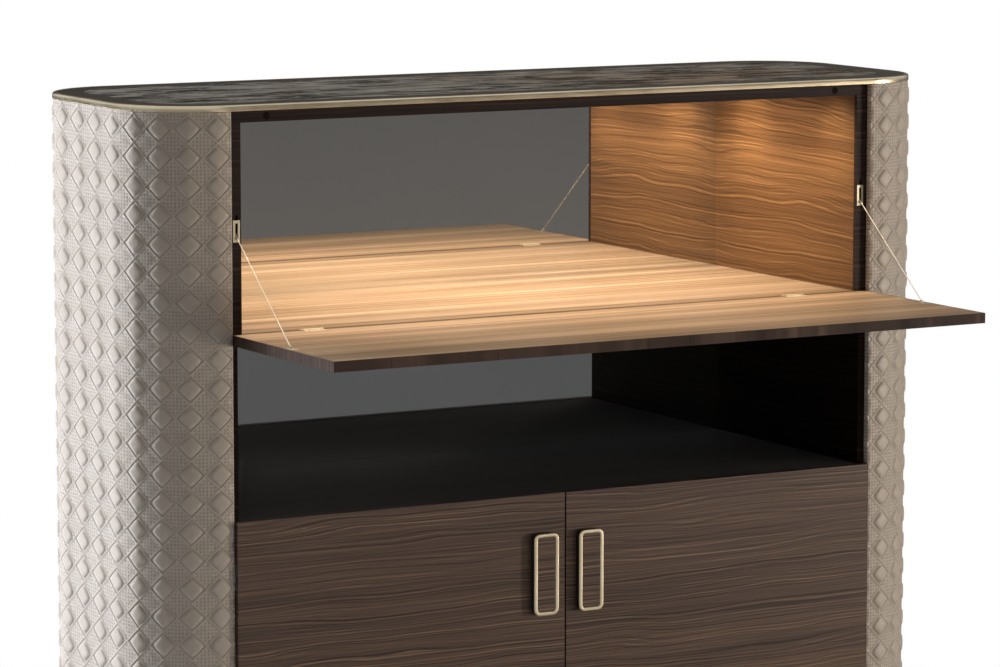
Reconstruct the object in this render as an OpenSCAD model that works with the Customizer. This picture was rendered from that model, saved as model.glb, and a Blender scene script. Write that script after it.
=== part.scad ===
// Highboard with a drop-flap bar, an open niche and two doors between rounded, quilted end pods.
// Origin: on the floor, under the middle of the body. X runs to the right, -Y to the front, Z up.
// It is drawn at rest with the bar flap open on its stay cables and the two doors shut.

/* [Body] */
// Width over the metal rim
cabinet_w = 1500; // [1400:5:1700]
// Depth over the metal rim
cabinet_d = 486; // [440:2:560]
// Radius of the rounded corners, seen from above
corner_r = 140; // [100:2:200]
// Width of each end pod, from the rim's end to the carcase
pod_w = 143; // [110:1:190]
// How far the doors and the closed flap stand in front of the rim
door_proud = 6; // [3:0.5:12]
// Shadow gap between a door and its pod
side_gap = 2; // [1.5:0.25:4]
// Gap between the backs of the doors and the carcase edges
front_gap = 1; // [0.6:0.1:2]

/* [Heights] */
// Height that the feet lift the plinth off the floor
foot_h = 5; // [3:1:12]
// Height of the plinth frame
plinth_h = 65; // [40:5:110]
// Thickness of the metal rims at the top and at the base
rim_t = 10; // [8:0.5:16]
// Height of the doors
door_h = 601; // [480:1:680]
// Gap under the doors
door_bottom_gap = 2.5; // [1.5:0.5:5]
// How far the niche floor lies below the tops of the doors
niche_step = 1; // [0:0.5:4]
// Clear height of the open niche
niche_h = 281; // [220:1:340]
// Length of the bar flap, from its hinge line to its free edge
flap_len = 355; // [300:1:420]
// Gap between the closed flap and the rim above it
flap_top_gap = 1.5; // [1:0.25:4]

/* [Boards] */
// Thickness of the doors and of the flap
panel_t = 17; // [15:0.5:20]
// Thickness of the carcase sides
side_t = 13; // [12:0.5:19]
// Thickness of the light walnut wall linings in the bar
liner_t = 8; // [5:0.5:12]
// Thickness of the top board and of the bottom board
board_t = 19; // [16:1:25]
// Thickness of the niche floor
niche_floor_t = 20; // [16:1:25]
// Thickness of the dark board under the bar floor
bar_floor_t = 17; // [14:1:22]
// Thickness of the light walnut lining on the bar floor and on the flap
lining_t = 3; // [2.5:0.5:5]
// Width of the dark lip round the flap's lining
flap_lip = 2; // [1.5:0.5:6]
// Thickness of the back panel
back_t = 10; // [8:1:16]
// Gap between the back panel and the back edge of the rim
back_inset = 7; // [3:1:20]
// Thickness of the mirrors
mirror_t = 5; // [4:1:8]
// Depth of the dark strip that edges each bar wall
post_d = 8; // [6:1:14]
// Thickness of the partition and the shelves
shelf_t = 18; // [15:1:22]
// Height of the shelf above the cabinet floor
shelf_z = 285; // [180:5:360]
// Gap between a shelf and what is beside it
shelf_gap = 1; // [0.5:0.5:3]
// How far the shelves stand back from the carcase front
shelf_setback = 30; // [10:5:80]
// Diameter of a shelf pin
pin_d = 5; // [4:1:7]
// How far a shelf pin stands out, and how deep it goes in
pin_reach = 8; // [6:1:10]
// How far the shelf pins stand in from the shelf's front and back edges
pin_inset = 50; // [30:5:90]

/* [Top] */
// Width of the dark metal border round the marble
border_w = 52; // [35:1:70]
// Gap round the marble
marble_gap = 0.3; // [0.2:0.1:1]
// How far the marble lies below the top of the rim
marble_drop = 0.5; // [0:0.25:2]

/* [Pods] */
// How far the channels of the upholstery lie inside the rim's edge
skin_inset = 2; // [1:0.5:5]
// Thickness of the padded upholstery
skin_t = 8; // [5:0.5:12]
// Gap between the padded upholstery and the pod's walls
skin_gap = 0.3; // [0.1:0.1:1]
// Distance between the quilted diamonds on the pod's front and round its corner
quilt_front_w = 47.2; // [40:0.1:60]
// Distance between the quilted diamonds on the pod's flat side
quilt_side_w = 67.7; // [50:0.1:80]
// How far round the corner the wider spacing starts, in degrees from the front
quilt_turn = 74; // [0:1:90]
// Distance between the quilted diamonds, up the pod
quilt_pitch_h = 46; // [36:0.5:60]
// Plain band above the top row of diamonds
quilt_top = 3; // [0:0.5:20]
// How far the diamonds stand out of their channels
quilt_h = 3.5; // [2:0.25:5]
// Thickness of the pod's curved wall
core_t = 15; // [10:1:22]
// Thickness of the pod's inner wall
core_inner_t = 20; // [18:1:30]
// How far the upholstery is turned in behind the pod's front edge
tuck_d = 27; // [20:1:40]
// Thickness of the upholstery where it is turned in
tuck_t = 6; // [4:0.5:8]

/* [Base] */
// How far the plinth stands back from the rim all round
plinth_inset = 40; // [25:5:80]
// Thickness of the plinth frame
plinth_t = 20; // [16:1:30]
// Width of the plinth's middle rail
plinth_rail_w = 60; // [50:5:90]
// Diameter of a levelling foot
foot_d = 40; // [30:2:50]
// Thickness of the foot's disc
foot_disc_t = 4; // [2:0.5:8]
// Diameter of the foot's threaded stem
foot_stem_d = 10; // [8:1:12]
// Length of stem inside its rail or block
foot_stem_l = 35; // [25:5:50]
// Room above the end of a foot's stem
foot_stem_room = 1; // [0.5:0.5:5]
// Side of the square blocks in the plinth that carry the feet
foot_block = 50; // [44:2:70]
// How deep the blocks and the middle rail are let into the plinth frame
block_bite = 4; // [1:1:10]

/* [Flap hinges] */
// Distance of each flap hinge from the outside of the carcase
flap_hinge_in = 147; // [90:1:250]
// Width of a flap hinge
flap_hinge_w = 36; // [30:1:50]
// Length of each hinge leaf, away from the hinge line
flap_leaf_l = 15; // [12:1:22]
// Thickness of each leaf
flap_leaf_t = 2; // [1.5:0.5:2.5]
// Radius of the hinge knuckles
flap_knuckle_r = 2.2; // [2:0.1:3]
// Radius of the hinge pin
flap_pin_r = 1; // [0.8:0.1:1.2]
// Width of the middle knuckle
flap_mid_knuckle_w = 14; // [10:1:18]
// Play between a knuckle and its neighbour
knuckle_play = 0.3; // [0.2:0.05:0.6]
// Radial play of a hinge pin in the knuckle that turns on it
pin_play = 0.08; // [0.05:0.01:0.1]
// Clearance of the boards round the knuckles
knuckle_clear = 0.5; // [0.3:0.1:1]
// Clearance round a plate that is let in flush
inlay_clear = 0.2; // [0.1:0.05:0.5]

/* [Flap stays] */
// How far the stay cables stand in from the carcase's sides
stay_inset = 13; // [9:0.5:16]
// Distance of the cable's eye from the hinge line
eye_reach = 187; // [140:1:230]
// Radius of the eye
eye_r = 2.3; // [2:0.1:2.6]
// Width of the eye
eye_w = 3.2; // [2.6:0.1:3.6]
// Width of the bracket plate
bracket_w = 13; // [10:1:16]
// Length of the bracket plate
bracket_l = 24; // [18:1:32]
// Thickness of the bracket plate
bracket_t = 1.5; // [1:0.25:2.5]
// How much of the bracket plate lies behind the eye
bracket_margin = 1.5; // [1:0.5:4]
// Width of the keeper plate in the front edge of the bar wall
keeper_w = 12; // [10:0.5:14]
// Height of the keeper plate
keeper_h = 35; // [30:1:50]
// Height of the keeper's middle above the bar floor
keeper_up = 165; // [120:1:200]
// Thickness of the keeper plate
keeper_t = 2; // [1.5:0.5:3]
// Width of the keeper's slot
slot_w = 4.6; // [4.4:0.1:6]
// Height of the keeper's slot
slot_h = 26; // [22:1:34]
// Room in the wall's edge behind and above the closed eye
eye_room = 1.5; // [1:0.25:3]
// Diameter of the stay cable
cable_d = 2.4; // [1.6:0.1:3]
// Radial clearance of the cable in its guide tube and in the retractor
cable_clear = 0.2; // [0.1:0.05:0.5]
// How far the guide tube lies above the lower end of the keeper's slot
guide_up = 8; // [6:0.5:12]
// Gap between the end of the drawn cable and its guide tube
cable_end_gap = 1.2; // [1:0.1:2]
// Outer diameter of the tube that guides the cable inside the wall
guide_d = 5; // [4.5:0.25:6]
// Length of that tube
guide_l = 40; // [25:5:70]
// Width of the cable retractor's housing
retractor_w = 32; // [24:1:34]
// Side of the retractor's housing, seen from the side
retractor_s = 66; // [50:2:90]
// How deep the retractor is let into the light wall lining
retractor_bite = 4; // [2:0.5:5]
// Gap round the retractor
retractor_gap = 0.3; // [0.2:0.1:1]
// Depth of the retractor's mouth
retractor_mouth_l = 8; // [4:1:14]

/* [Flap catches] */
// Distance of each magnetic catch from the outside of the carcase
catch_in = 67; // [40:1:120]
// Diameter of the catch and of its strike plate
catch_d = 12; // [8:1:14]
// Length of the catch
catch_l = 14; // [8:1:20]
// Thickness of the strike plate
strike_t = 1.5; // [1:0.25:2.5]

/* [Doors] */
// Gap between the two doors
door_mid_gap = 3; // [2:0.5:5]
// How far the hinge axis lies in from the door's outer edge
door_axis_in = 4.5; // [4:0.25:6]
// How far the hinge axis lies behind the door's face
door_axis_back = 4; // [3.9:0.1:4.5]
// Radius of the door hinge's knuckles
door_knuckle_r = 2.4; // [2:0.1:2.6]
// Radius of the door hinge's pin
door_pin_r = 1.1; // [0.8:0.1:1.3]
// Height of each knuckle
door_knuckle_h = 14; // [10:1:20]
// Height of the leaf on the carcase side
side_leaf_h = 60; // [50:2:90]
// Width of the leaf on the carcase side
side_leaf_w = 10; // [8:0.5:12]
// Thickness of both leaves
door_leaf_t = 2; // [1.5:0.25:2.5]
// Thickness of the arm that reaches to the hinge axis
arm_t = 2.4; // [2:0.1:3]
// Distance of the end hinges from the ends of the door
door_hinge_inset = 90; // [70:5:130]

/* [Handles] */
// Width of a handle
handle_w = 47; // [36:1:60]
// Height of a handle
handle_h = 138; // [110:2:180]
// How far a handle stands out from its door
handle_d = 13; // [9:0.5:20]
// Radius of the handle's corners
handle_r = 11; // [8:0.5:16]
// Width of the handle's metal frame
handle_frame_w = 6.5; // [4:0.5:9]
// Thickness of the handle's metal frame
handle_frame_t = 4; // [3:0.5:6]
// How far the dark core stands back from the outside of the metal frame
handle_core_inset = 0.8; // [0:0.2:2]
// How far the wooden inlay lies below the metal frame
handle_inlay_drop = 1; // [0.5:0.25:2]
// Thickness of the wooden inlay
handle_inlay_t = 2; // [1.5:0.25:2.5]
// Distance of the handle's centre line from the middle
handle_x = 43; // [35:1:80]
// Distance of the handle's top from the top of the door
handle_top = 64; // [40:2:160]

/* [Lighting] */
// Distance of the outer spots from the outside of the carcase
spot_in = 131; // [80:1:250]
// Distance of the front row of spots behind the doors' face
spot_front = 75; // [60:5:120]
// Distance of the back row of spots behind the doors' face
spot_back = 350; // [200:5:380]
// Diameter of a spot
spot_d = 56; // [40:2:70]
// Depth of a spot
spot_h = 12; // [8:1:14]
// Width of the spot's metal ring
spot_ring = 4.5; // [3:0.5:8]
// Thickness of the spot's lens
lens_t = 2; // [1.5:0.5:4]
// Diameter of the lead between the spots
lead_d = 4; // [3:0.5:4.5]
// Clearance of a groove round the lead
lead_clear = 0.4; // [0.2:0.1:1]
// Distance of the lead's riser from the outside of the carcase
riser_in = 107; // [90:1:300]
// Width of the lamp driver
driver_w = 120; // [80:5:160]
// Height of the lamp driver
driver_h = 40; // [30:2:60]
// Depth of the lamp driver
driver_d = 25; // [18:1:35]
// Gap above the lamp driver
driver_gap = 60; // [30:5:100]

/* [Hidden] */
$fn = 96;
eps = 0.01;
far = 2000;

// Heights, from the floor up
plinth_z = foot_h;
base_rim_z = plinth_z + plinth_h;
base_z = base_rim_z + rim_t;
door_z = base_z + door_bottom_gap;
door_top_z = door_z + door_h;
niche_z = door_top_z - niche_step;
bar_board_z = niche_z + niche_h;
bar_z = bar_board_z + bar_floor_t + lining_t;
top_rim_z = bar_z + flap_len + flap_top_gap;
top_board_z = top_rim_z - board_t;

// Planes across the body, from front to back
rim_front = -cabinet_d / 2;
door_front = rim_front - door_proud;
panel_back = door_front + panel_t;
carcase_front = panel_back + front_gap;
rim_back = cabinet_d / 2;
back_front = rim_back - back_inset - back_t;
mirror_front = back_front - mirror_t;

// Half widths
carcase_x = cabinet_w / 2 - pod_w;
side_in = carcase_x - side_t;
liner_in = side_in - liner_t;
panel_x = carcase_x - side_gap;
flap_hinge_x = carcase_x - flap_hinge_in;
catch_x = carcase_x - catch_in;
spot_x = carcase_x - spot_in;
riser_x = carcase_x - riser_in;

// Upholstery and pod outlines
skin_r = corner_r - skin_inset;
core_inset = skin_inset + skin_t;
corner_x = cabinet_w / 2 - corner_r;
corner_y = cabinet_d / 2 - corner_r;

// Flap hinge line, which is also where the cables' geometry starts
hinge_y = panel_back;
hinge_z = bar_z;
stay_x = carcase_x - stay_inset;
eye_y = hinge_y - eye_reach;
eye_z = hinge_z + eye_r;
keeper_z = hinge_z + keeper_up;
eye_shut_z = hinge_z + eye_reach;
pocket_back = hinge_y + 2 * eye_r + eye_room;
pocket_top = max(eye_shut_z + eye_r + eye_room, keeper_z + slot_h / 2);
guide_z = keeper_z - slot_h / 2 + guide_up;

// Door hinge axis
door_axis_x = panel_x - door_axis_in;
door_axis_y = door_front + door_axis_back;
hinge_heights = [
    door_z + door_hinge_inset,
    door_z + door_h / 2,
    door_z + door_h - door_hinge_inset
];

// Handles
handle_z = door_top_z - handle_top - handle_h / 2;
handle_core_d = handle_d - handle_frame_t;

// Lamps
spot_y = [door_front + spot_front, door_front + spot_back];
spot_xs = [-spot_x, 0, spot_x];
lead_room = lead_d / 2 + lead_clear;
lead_y = back_front + lead_room;
lead_z = top_rim_z - lead_room;
driver_z = niche_z - niche_floor_t - driver_gap - driver_h;

// A box between two corners
module span(low, high) {
    translate(low) cube(high - low);
}

// What is drawn for the right side, or its mirror image for the left side
module on_side(side) {
    if (side > 0) children();
    else mirror([1, 0, 0]) children();
}

module both_sides() {
    for (side = [-1, 1]) on_side(side) children();
}

// A rod between two points that share two of their coordinates
module rod_x(x0, x1, y, z, r) {
    translate([x0, y, z]) rotate([0, 90, 0]) cylinder(r = r, h = x1 - x0);
}

module rod_y(x, y0, y1, z, r) {
    translate([x, y0, z]) rotate([-90, 0, 0]) cylinder(r = r, h = y1 - y0);
}

module rod_z(x, y, z0, z1, r) {
    translate([x, y, z0]) cylinder(r = r, h = z1 - z0);
}

// Plan of the body with rounded corners, drawn in by an inset
module body_plan(inset) {
    r = max(corner_r - inset, 1);
    w = cabinet_w - 2 * inset;
    d = cabinet_d - 2 * inset;
    square([w - 2 * r, d], center = true);
    square([w, d - 2 * r], center = true);
    for (sx = [-1, 1], sy = [-1, 1])
        translate([sx * (w / 2 - r), sy * (d / 2 - r)]) circle(r = r, $fn = 180);
}

// The part of that plan that lies outside x = from, on the right
module end_plan(inset, from) {
    intersection() {
        body_plan(inset);
        translate([from, -far / 2]) square([far, far]);
    }
}

// Plan of the pod inside its upholstery, grown by a margin
module pod_plan(margin = 0) {
    end_plan(core_inset - margin, carcase_x + tuck_t - margin);
    intersection() {
        end_plan(core_inset - margin, carcase_x);
        square([far, cabinet_d - 2 * (skin_inset + tuck_d - margin)], center = true);
    }
}

module plinth() color("#2b2724") {
    translate([0, 0, plinth_z]) linear_extrude(plinth_h) {
        difference() {
            body_plan(plinth_inset);
            body_plan(plinth_inset + plinth_t);
        }
    }
    difference() {
        union() {
            span([-plinth_rail_w / 2, rim_front + plinth_inset + plinth_t - block_bite, plinth_z],
                 [plinth_rail_w / 2, rim_back - plinth_inset - plinth_t + block_bite, base_rim_z]);
            for (p = foot_places()) if (p[0] != 0)
                translate([p[0] - foot_block / 2, p[1] - foot_block / 2, plinth_z])
                    cube([foot_block, foot_block, plinth_h]);
        }
        for (p = foot_places())
            rod_z(p[0], p[1], plinth_z - eps, plinth_z + foot_stem_l + foot_stem_room,
                  foot_stem_d / 2);
    }
}

// Six feet near the ends and the middle of the plinth, and one under the middle rail
function foot_y() = cabinet_d / 2 - plinth_inset - plinth_t + block_bite - foot_block / 2;
function foot_x() = cabinet_w / 2 - corner_r - foot_block / 2;
function foot_places() = [
    for (sx = [-1, 1], sy = [-1, 1]) [sx * foot_x(), sy * foot_y()],
    [0, -foot_y()], [0, 0], [0, foot_y()]
];

module levelling_feet() color("#1c1c1c") {
    for (p = foot_places()) {
        rod_z(p[0], p[1], 0, foot_disc_t, foot_d / 2);
        rod_z(p[0], p[1], foot_disc_t - eps, plinth_z + foot_stem_l, foot_stem_d / 2);
    }
}

module base_rim() color("#b9a98c") {
    translate([0, 0, base_rim_z]) linear_extrude(rim_t) body_plan(0);
}

module bottom_panel() color("#3a302b") {
    span([-side_in, carcase_front, base_z], [side_in, back_front, base_z + board_t]);
}

module carcase_side(side) color("#3a302b") on_side(side) {
    difference() {
        span([side_in, carcase_front, base_z], [carcase_x, back_front, top_board_z]);
        span([side_in - eps, carcase_front - eps, bar_z],
             [carcase_x + eps, carcase_front + post_d, top_board_z + eps]);
        retractor_room();
        guide_room();
        for (h = hinge_heights) side_leaf_room(h);
        for (y = shelf_pin_y())
            rod_x(side_in - eps, side_in + pin_reach, y, shelf_pin_z(), pin_d / 2);
    }
}

module back_panel() color("#3a302b") {
    difference() {
        span([-carcase_x, back_front, base_z],
             [carcase_x, rim_back - back_inset, top_rim_z]);
        span([-riser_x - lead_room, back_front - eps, driver_z + driver_h / 2 - lead_d],
             [-riser_x + lead_room, lead_y + lead_room, top_rim_z + eps]);
    }
}

module centre_partition() color("#3a302b") {
    difference() {
        span([-shelf_t / 2, carcase_front, base_z + board_t],
             [shelf_t / 2, back_front, niche_z - niche_floor_t]);
        for (y = shelf_pin_y())
            rod_x(-shelf_t / 2 - eps, shelf_t / 2 + eps, y, shelf_pin_z(), pin_d / 2);
    }
}

function shelf_front() = carcase_front + shelf_setback;
function shelf_back() = back_front - shelf_gap;
function shelf_under() = base_z + board_t + shelf_z;
function shelf_pin_z() = shelf_under() - pin_d / 2;
function shelf_pin_y() = [shelf_front() + pin_inset, shelf_back() - pin_inset];

module shelf(side) color("#4a3c33") on_side(side) {
    span([shelf_t / 2 + shelf_gap, shelf_front(), shelf_under()],
         [side_in - shelf_gap, shelf_back(), shelf_under() + shelf_t]);
}

// Two pins through the partition carry both shelves, and two short ones stand in each side
module shelf_pins() color("#b8b4aa") {
    for (y = shelf_pin_y()) {
        rod_x(-shelf_t / 2 - pin_reach, shelf_t / 2 + pin_reach, y, shelf_pin_z(), pin_d / 2);
        both_sides()
            rod_x(side_in - pin_reach, side_in + pin_reach, y, shelf_pin_z(), pin_d / 2);
    }
}

module niche_floor() color("#26221f") {
    span([-side_in, carcase_front, niche_z - niche_floor_t], [side_in, back_front, niche_z]);
}

// Room for the flap's hinge knuckles along the hinge line
module knuckle_room() {
    both_sides()
        rod_x(flap_hinge_x - flap_hinge_w / 2 - inlay_clear,
              flap_hinge_x + flap_hinge_w / 2 + inlay_clear,
              hinge_y, hinge_z, flap_knuckle_r + knuckle_clear);
}

// Room for the flap's hinge leaves, both those in the flap and those in the floor
module leaf_room() {
    both_sides()
        span([flap_hinge_x - flap_hinge_w / 2 - inlay_clear, hinge_y - flap_leaf_l - inlay_clear,
              hinge_z - flap_leaf_t],
             [flap_hinge_x + flap_hinge_w / 2 + inlay_clear, hinge_y + flap_leaf_l + inlay_clear,
              hinge_z + eps]);
}

module bar_floor() color("#2a211c") {
    difference() {
        span([-side_in, carcase_front, bar_board_z], [side_in, back_front, bar_z - lining_t]);
        knuckle_room();
    }
}

module bar_floor_lining() color("#c79258") {
    difference() {
        span([-side_in, carcase_front, bar_z - lining_t], [side_in, back_front, bar_z]);
        knuckle_room();
        leaf_room();
    }
}

module bar_liner(side) color("#a8743f") on_side(side) {
    difference() {
        span([liner_in, carcase_front + post_d, bar_z], [side_in, back_front, top_board_z]);
        retractor_room();
        guide_room();
    }
}

// Bore for the tube that guides the cable from the keeper to the retractor
module guide_room() {
    rod_y(stay_x, carcase_front + keeper_t, guide_end(), guide_z, guide_d / 2);
}

function guide_end() = carcase_front + post_d + guide_l;

// Dark strip that forms the front edge of each bar wall, with the keeper let in. The pocket
// behind the keeper's slot runs on above it, where the flap's eye comes to lie.
module edge_post(side) color("#33291f") on_side(side) {
    difference() {
        span([liner_in, carcase_front, bar_z], [carcase_x, carcase_front + post_d, top_board_z]);
        span([stay_x - keeper_w / 2 - inlay_clear, carcase_front - eps,
              keeper_z - keeper_h / 2 - inlay_clear],
             [stay_x + keeper_w / 2 + inlay_clear, carcase_front + keeper_t,
              keeper_z + keeper_h / 2 + inlay_clear]);
        span([stay_x - slot_w / 2, carcase_front - eps, keeper_z - slot_h / 2],
             [stay_x + slot_w / 2, pocket_back, pocket_top]);
        guide_room();
    }
}

module top_board() color("#2c2320") {
    difference() {
        translate([0, 0, top_board_z]) linear_extrude(board_t) {
            translate([-carcase_x, carcase_front]) square([2 * carcase_x, back_front - carcase_front]);
            for (side = [0, 1]) mirror([side, 0]) pod_plan();
        }
        for (x = spot_xs, y = spot_y)
            rod_z(x, y, top_board_z - eps, top_board_z + spot_h, spot_d / 2);
        lead_grooves();
        both_sides()
            rod_y(catch_x, carcase_front - eps, carcase_front + catch_l, catch_z(), catch_d / 2);
    }
}

// Grooves in the top board's upper face, with a drop to each spot
module lead_grooves() {
    g = lead_room;
    for (y = spot_y) {
        span([-riser_x - g, y - g, lead_z - g], [spot_x + g, y + g, top_rim_z + eps]);
        for (x = spot_xs) rod_z(x, y, top_board_z + spot_h - eps, top_rim_z, g);
    }
    span([-riser_x - g, spot_y[0] - g, lead_z - g],
         [-riser_x + g, back_front + eps, top_rim_z + eps]);
}

module top_rim() color("#a8987c") {
    translate([0, 0, top_rim_z]) linear_extrude(rim_t) difference() {
        body_plan(0);
        body_plan(border_w);
    }
}

module marble_top() color("#4c4a47") {
    translate([0, 0, top_rim_z]) linear_extrude(rim_t - marble_drop) body_plan(border_w + marble_gap);
}

module niche_mirror() color("#8f9496") {
    span([-side_in, mirror_front, niche_z], [side_in, back_front, bar_board_z]);
}

module bar_mirror() color("#8f9496") {
    span([-liner_in, mirror_front, bar_z], [liner_in, back_front, top_board_z]);
}

// Hollow shell of bent plywood, closed above by the top board and below by the base rim
module pod_core(side) color("#8a6f50") on_side(side) {
    difference() {
        translate([0, 0, base_z]) linear_extrude(top_board_z - base_z) difference() {
            pod_plan();
            end_plan(core_inset + core_t, carcase_x + core_inner_t);
        }
        retractor_room();
    }
}

// Half a plan of the quilted face: a point at distance s along it, and the way it faces there
function face_lead() = corner_x - carcase_x;
function face_start() = face_lead() < 0 ? asin(-face_lead() / skin_r) : 0;
function face_straight() = max(face_lead(), 0);
function face_arc() = skin_r * PI * (90 - face_start()) / 180;
function face_side() = cabinet_d - 2 * corner_r;
function face_length() = 2 * (face_straight() + face_arc()) + face_side();

function half_face(s) =
    s < face_straight()
        ? [[carcase_x + s, corner_y + skin_r], [0, 1]]
    : s < face_straight() + face_arc()
        ? let (t = face_start() + (s - face_straight()) / skin_r * 180 / PI)
          [[corner_x + skin_r * sin(t), corner_y + skin_r * cos(t)], [sin(t), cos(t)]]
    : [[corner_x + skin_r, corner_y - (s - face_straight() - face_arc())], [1, 0]];

function face_at(s) =
    s <= face_length() / 2
        ? let (p = half_face(s)) [[p[0][0], -p[0][1]], [p[1][0], -p[1][1]]]
        : half_face(face_length() - s);

// The diamonds stand closer together on the front and round the corner than on the flat side
function narrow_length() = face_straight() + face_arc() * quilt_turn / 90;
function narrow_columns() = narrow_length() / quilt_front_w;
function half_columns() =
    narrow_columns() + (face_length() / 2 - narrow_length()) / quilt_side_w;
function quilt_columns() = 2 * max(2, round(half_columns()));

// Distance along the face after a share of half its columns
function half_place(share) =
    let (c = share * half_columns())
    c < narrow_columns() ? c * quilt_front_w
                         : narrow_length() + (c - narrow_columns()) * quilt_side_w;
function face_place(share) =
    share <= 0.5 ? half_place(2 * share) : face_length() - half_place(2 - 2 * share);

// Padded cover round the pod, with raised diamonds, turned in at its front and back edges.
// Every second point of every second line of the grid is the crown of a diamond.
module quilted_shell() {
    cols = 2 * quilt_columns();
    rows = 2 * max(2, floor((top_rim_z - base_z - quilt_top) / quilt_pitch_h));
    function height(j) =
        j == 0 ? base_z
        : j == rows ? top_rim_z
        : top_rim_z - quilt_top - (rows - j) * quilt_pitch_h / 2;
    inner = (cols + 1) * (rows + 1);
    function at(k, j) = k * (rows + 1) + j;
    function low_in(k) = inner + 2 * k;
    function high_in(k) = inner + 2 * k + 1;
    ends = [0, for (j = [1:2:rows - 1]) j, rows];
    points = [
        for (k = [0:cols], j = [0:rows])
            let (f = face_at(face_place(k / cols)),
                 out = (k % 2 == 1 && j % 2 == 1) ? quilt_h : 0)
            [f[0][0] + f[1][0] * out, f[0][1] + f[1][1] * out, height(j)],
        for (k = [0:cols])
            let (f = face_at(face_place(k / cols)), p = f[0] - f[1] * (tuck_d + skin_gap))
            each [[p[0], p[1], base_z], [p[0], p[1], top_rim_z]]
    ];
    crowns = [
        for (k = [1:2:cols - 1], j = [1:2:rows - 1]) each [
            [at(k, j), at(k - 1, j), at(k, j + 1)],
            [at(k, j), at(k, j + 1), at(k + 1, j)],
            [at(k, j), at(k + 1, j), at(k, j - 1)],
            [at(k, j), at(k, j - 1), at(k - 1, j)]
        ]
    ];
    channels_right = [
        for (k = [0:2:cols - 2]) each [
            [at(k, 0), at(k, 1), at(k + 1, 0)],
            [at(k, rows - 1), at(k, rows), at(k + 1, rows)],
            for (j = [2:2:rows - 2]) [at(k, j - 1), at(k, j + 1), at(k + 1, j)]
        ]
    ];
    channels_left = [
        for (k = [2:2:cols]) each [
            [at(k, 0), at(k - 1, 0), at(k, 1)],
            [at(k, rows - 1), at(k - 1, rows), at(k, rows)],
            for (j = [2:2:rows - 2]) [at(k, j - 1), at(k - 1, j), at(k, j + 1)]
        ]
    ];
    walls = [
        for (k = [0:cols - 1]) each [
            [low_in(k), low_in(k + 1), high_in(k + 1)],
            [low_in(k), high_in(k + 1), high_in(k)],
            [at(k, rows), high_in(k), high_in(k + 1)],
            [at(k, rows), high_in(k + 1), at(k + 1, rows)],
            [at(k, 0), at(k + 1, 0), low_in(k + 1)],
            [at(k, 0), low_in(k + 1), low_in(k)]
        ]
    ];
    front_end = [
        [low_in(0), high_in(0), at(0, rows)],
        for (i = [len(ends) - 1:-1:1]) [low_in(0), at(0, ends[i]), at(0, ends[i - 1])]
    ];
    back_end = [
        [low_in(cols), at(cols, rows), high_in(cols)],
        for (i = [0:len(ends) - 2]) [low_in(cols), at(cols, ends[i]), at(cols, ends[i + 1])]
    ];
    polyhedron(points, concat(crowns, channels_right, channels_left, walls, front_end, back_end));
}

module upholstery(side) color("#a89a89") on_side(side) {
    difference() {
        quilted_shell();
        translate([0, 0, base_z - eps]) linear_extrude(top_rim_z - base_z + 2 * eps)
            pod_plan(skin_gap);
        span([-carcase_x, -far, -far], [carcase_x, far, far]);
    }
}

module led_housings() color("#b9b4a8") {
    for (x = spot_xs, y = spot_y) difference() {
        rod_z(x, y, top_board_z, top_board_z + spot_h, spot_d / 2);
        rod_z(x, y, top_board_z - eps, top_board_z + lens_t, spot_d / 2 - spot_ring);
    }
}

module led_lenses() color("#fff3d6") {
    for (x = spot_xs, y = spot_y)
        rod_z(x, y, top_board_z, top_board_z + lens_t, spot_d / 2 - spot_ring);
}

module led_driver() color("#e8e6e0") {
    span([-riser_x - driver_w / 2, back_front - driver_d, driver_z],
         [-riser_x + driver_w / 2, back_front, driver_z + driver_h]);
}

// Lead from the driver up behind the mirrors, then over the top board to each spot
module led_lead() color("#f0eee8") {
    r = lead_d / 2;
    for (y = spot_y) {
        rod_x(-riser_x, spot_x, y, lead_z, r);
        for (x = spot_xs) rod_z(x, y, top_board_z + spot_h, lead_z, r);
    }
    rod_y(-riser_x, spot_y[0], lead_y, lead_z, r);
    rod_z(-riser_x, lead_y, driver_z + driver_h / 2, lead_z, r);
    rod_y(-riser_x, back_front, lead_y, driver_z + driver_h / 2, r);
    for (p = [[-riser_x, lead_y, lead_z], [-riser_x, lead_y, driver_z + driver_h / 2],
              [-riser_x, spot_y[0], lead_z], [spot_x, spot_y[0], lead_z],
              [spot_x, spot_y[1], lead_z]])
        translate(p) sphere(r = r, $fn = 48);
}

module stay_keeper(side) color("#cdbb93") on_side(side) {
    difference() {
        span([stay_x - keeper_w / 2, carcase_front, keeper_z - keeper_h / 2],
             [stay_x + keeper_w / 2, carcase_front + keeper_t, keeper_z + keeper_h / 2]);
        span([stay_x - slot_w / 2, carcase_front - eps, keeper_z - slot_h / 2],
             [stay_x + slot_w / 2, carcase_front + keeper_t + eps, keeper_z + slot_h / 2]);
    }
}

module stay_guide_tubes() color("#cdbb93") both_sides() {
    difference() {
        rod_y(stay_x, pocket_back, guide_end(), guide_z, guide_d / 2);
        rod_y(stay_x, pocket_back - eps, guide_end() + eps, guide_z, cable_d / 2 + cable_clear);
    }
}

function retractor_low() = [
    side_in - retractor_bite, guide_end(), guide_z - retractor_s / 2
];
function retractor_high() = retractor_low() + [retractor_w, retractor_s, retractor_s];

module retractor_room() {
    g = retractor_gap * [1, 1, 1];
    span(retractor_low() - g, retractor_high() + g);
}

// Housing of the spring drum that draws the cable in as the flap rises
module stay_retractor(side) color("#3c3c3e") on_side(side) {
    difference() {
        span(retractor_low(), retractor_high());
        rod_y(stay_x, guide_end() - eps, guide_end() + retractor_mouth_l, guide_z,
              cable_d / 2 + cable_clear);
    }
}

// Half of a flap hinge's width that lies outside the middle knuckle
function outer_knuckle_from() = flap_mid_knuckle_w / 2 + knuckle_play;

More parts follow.
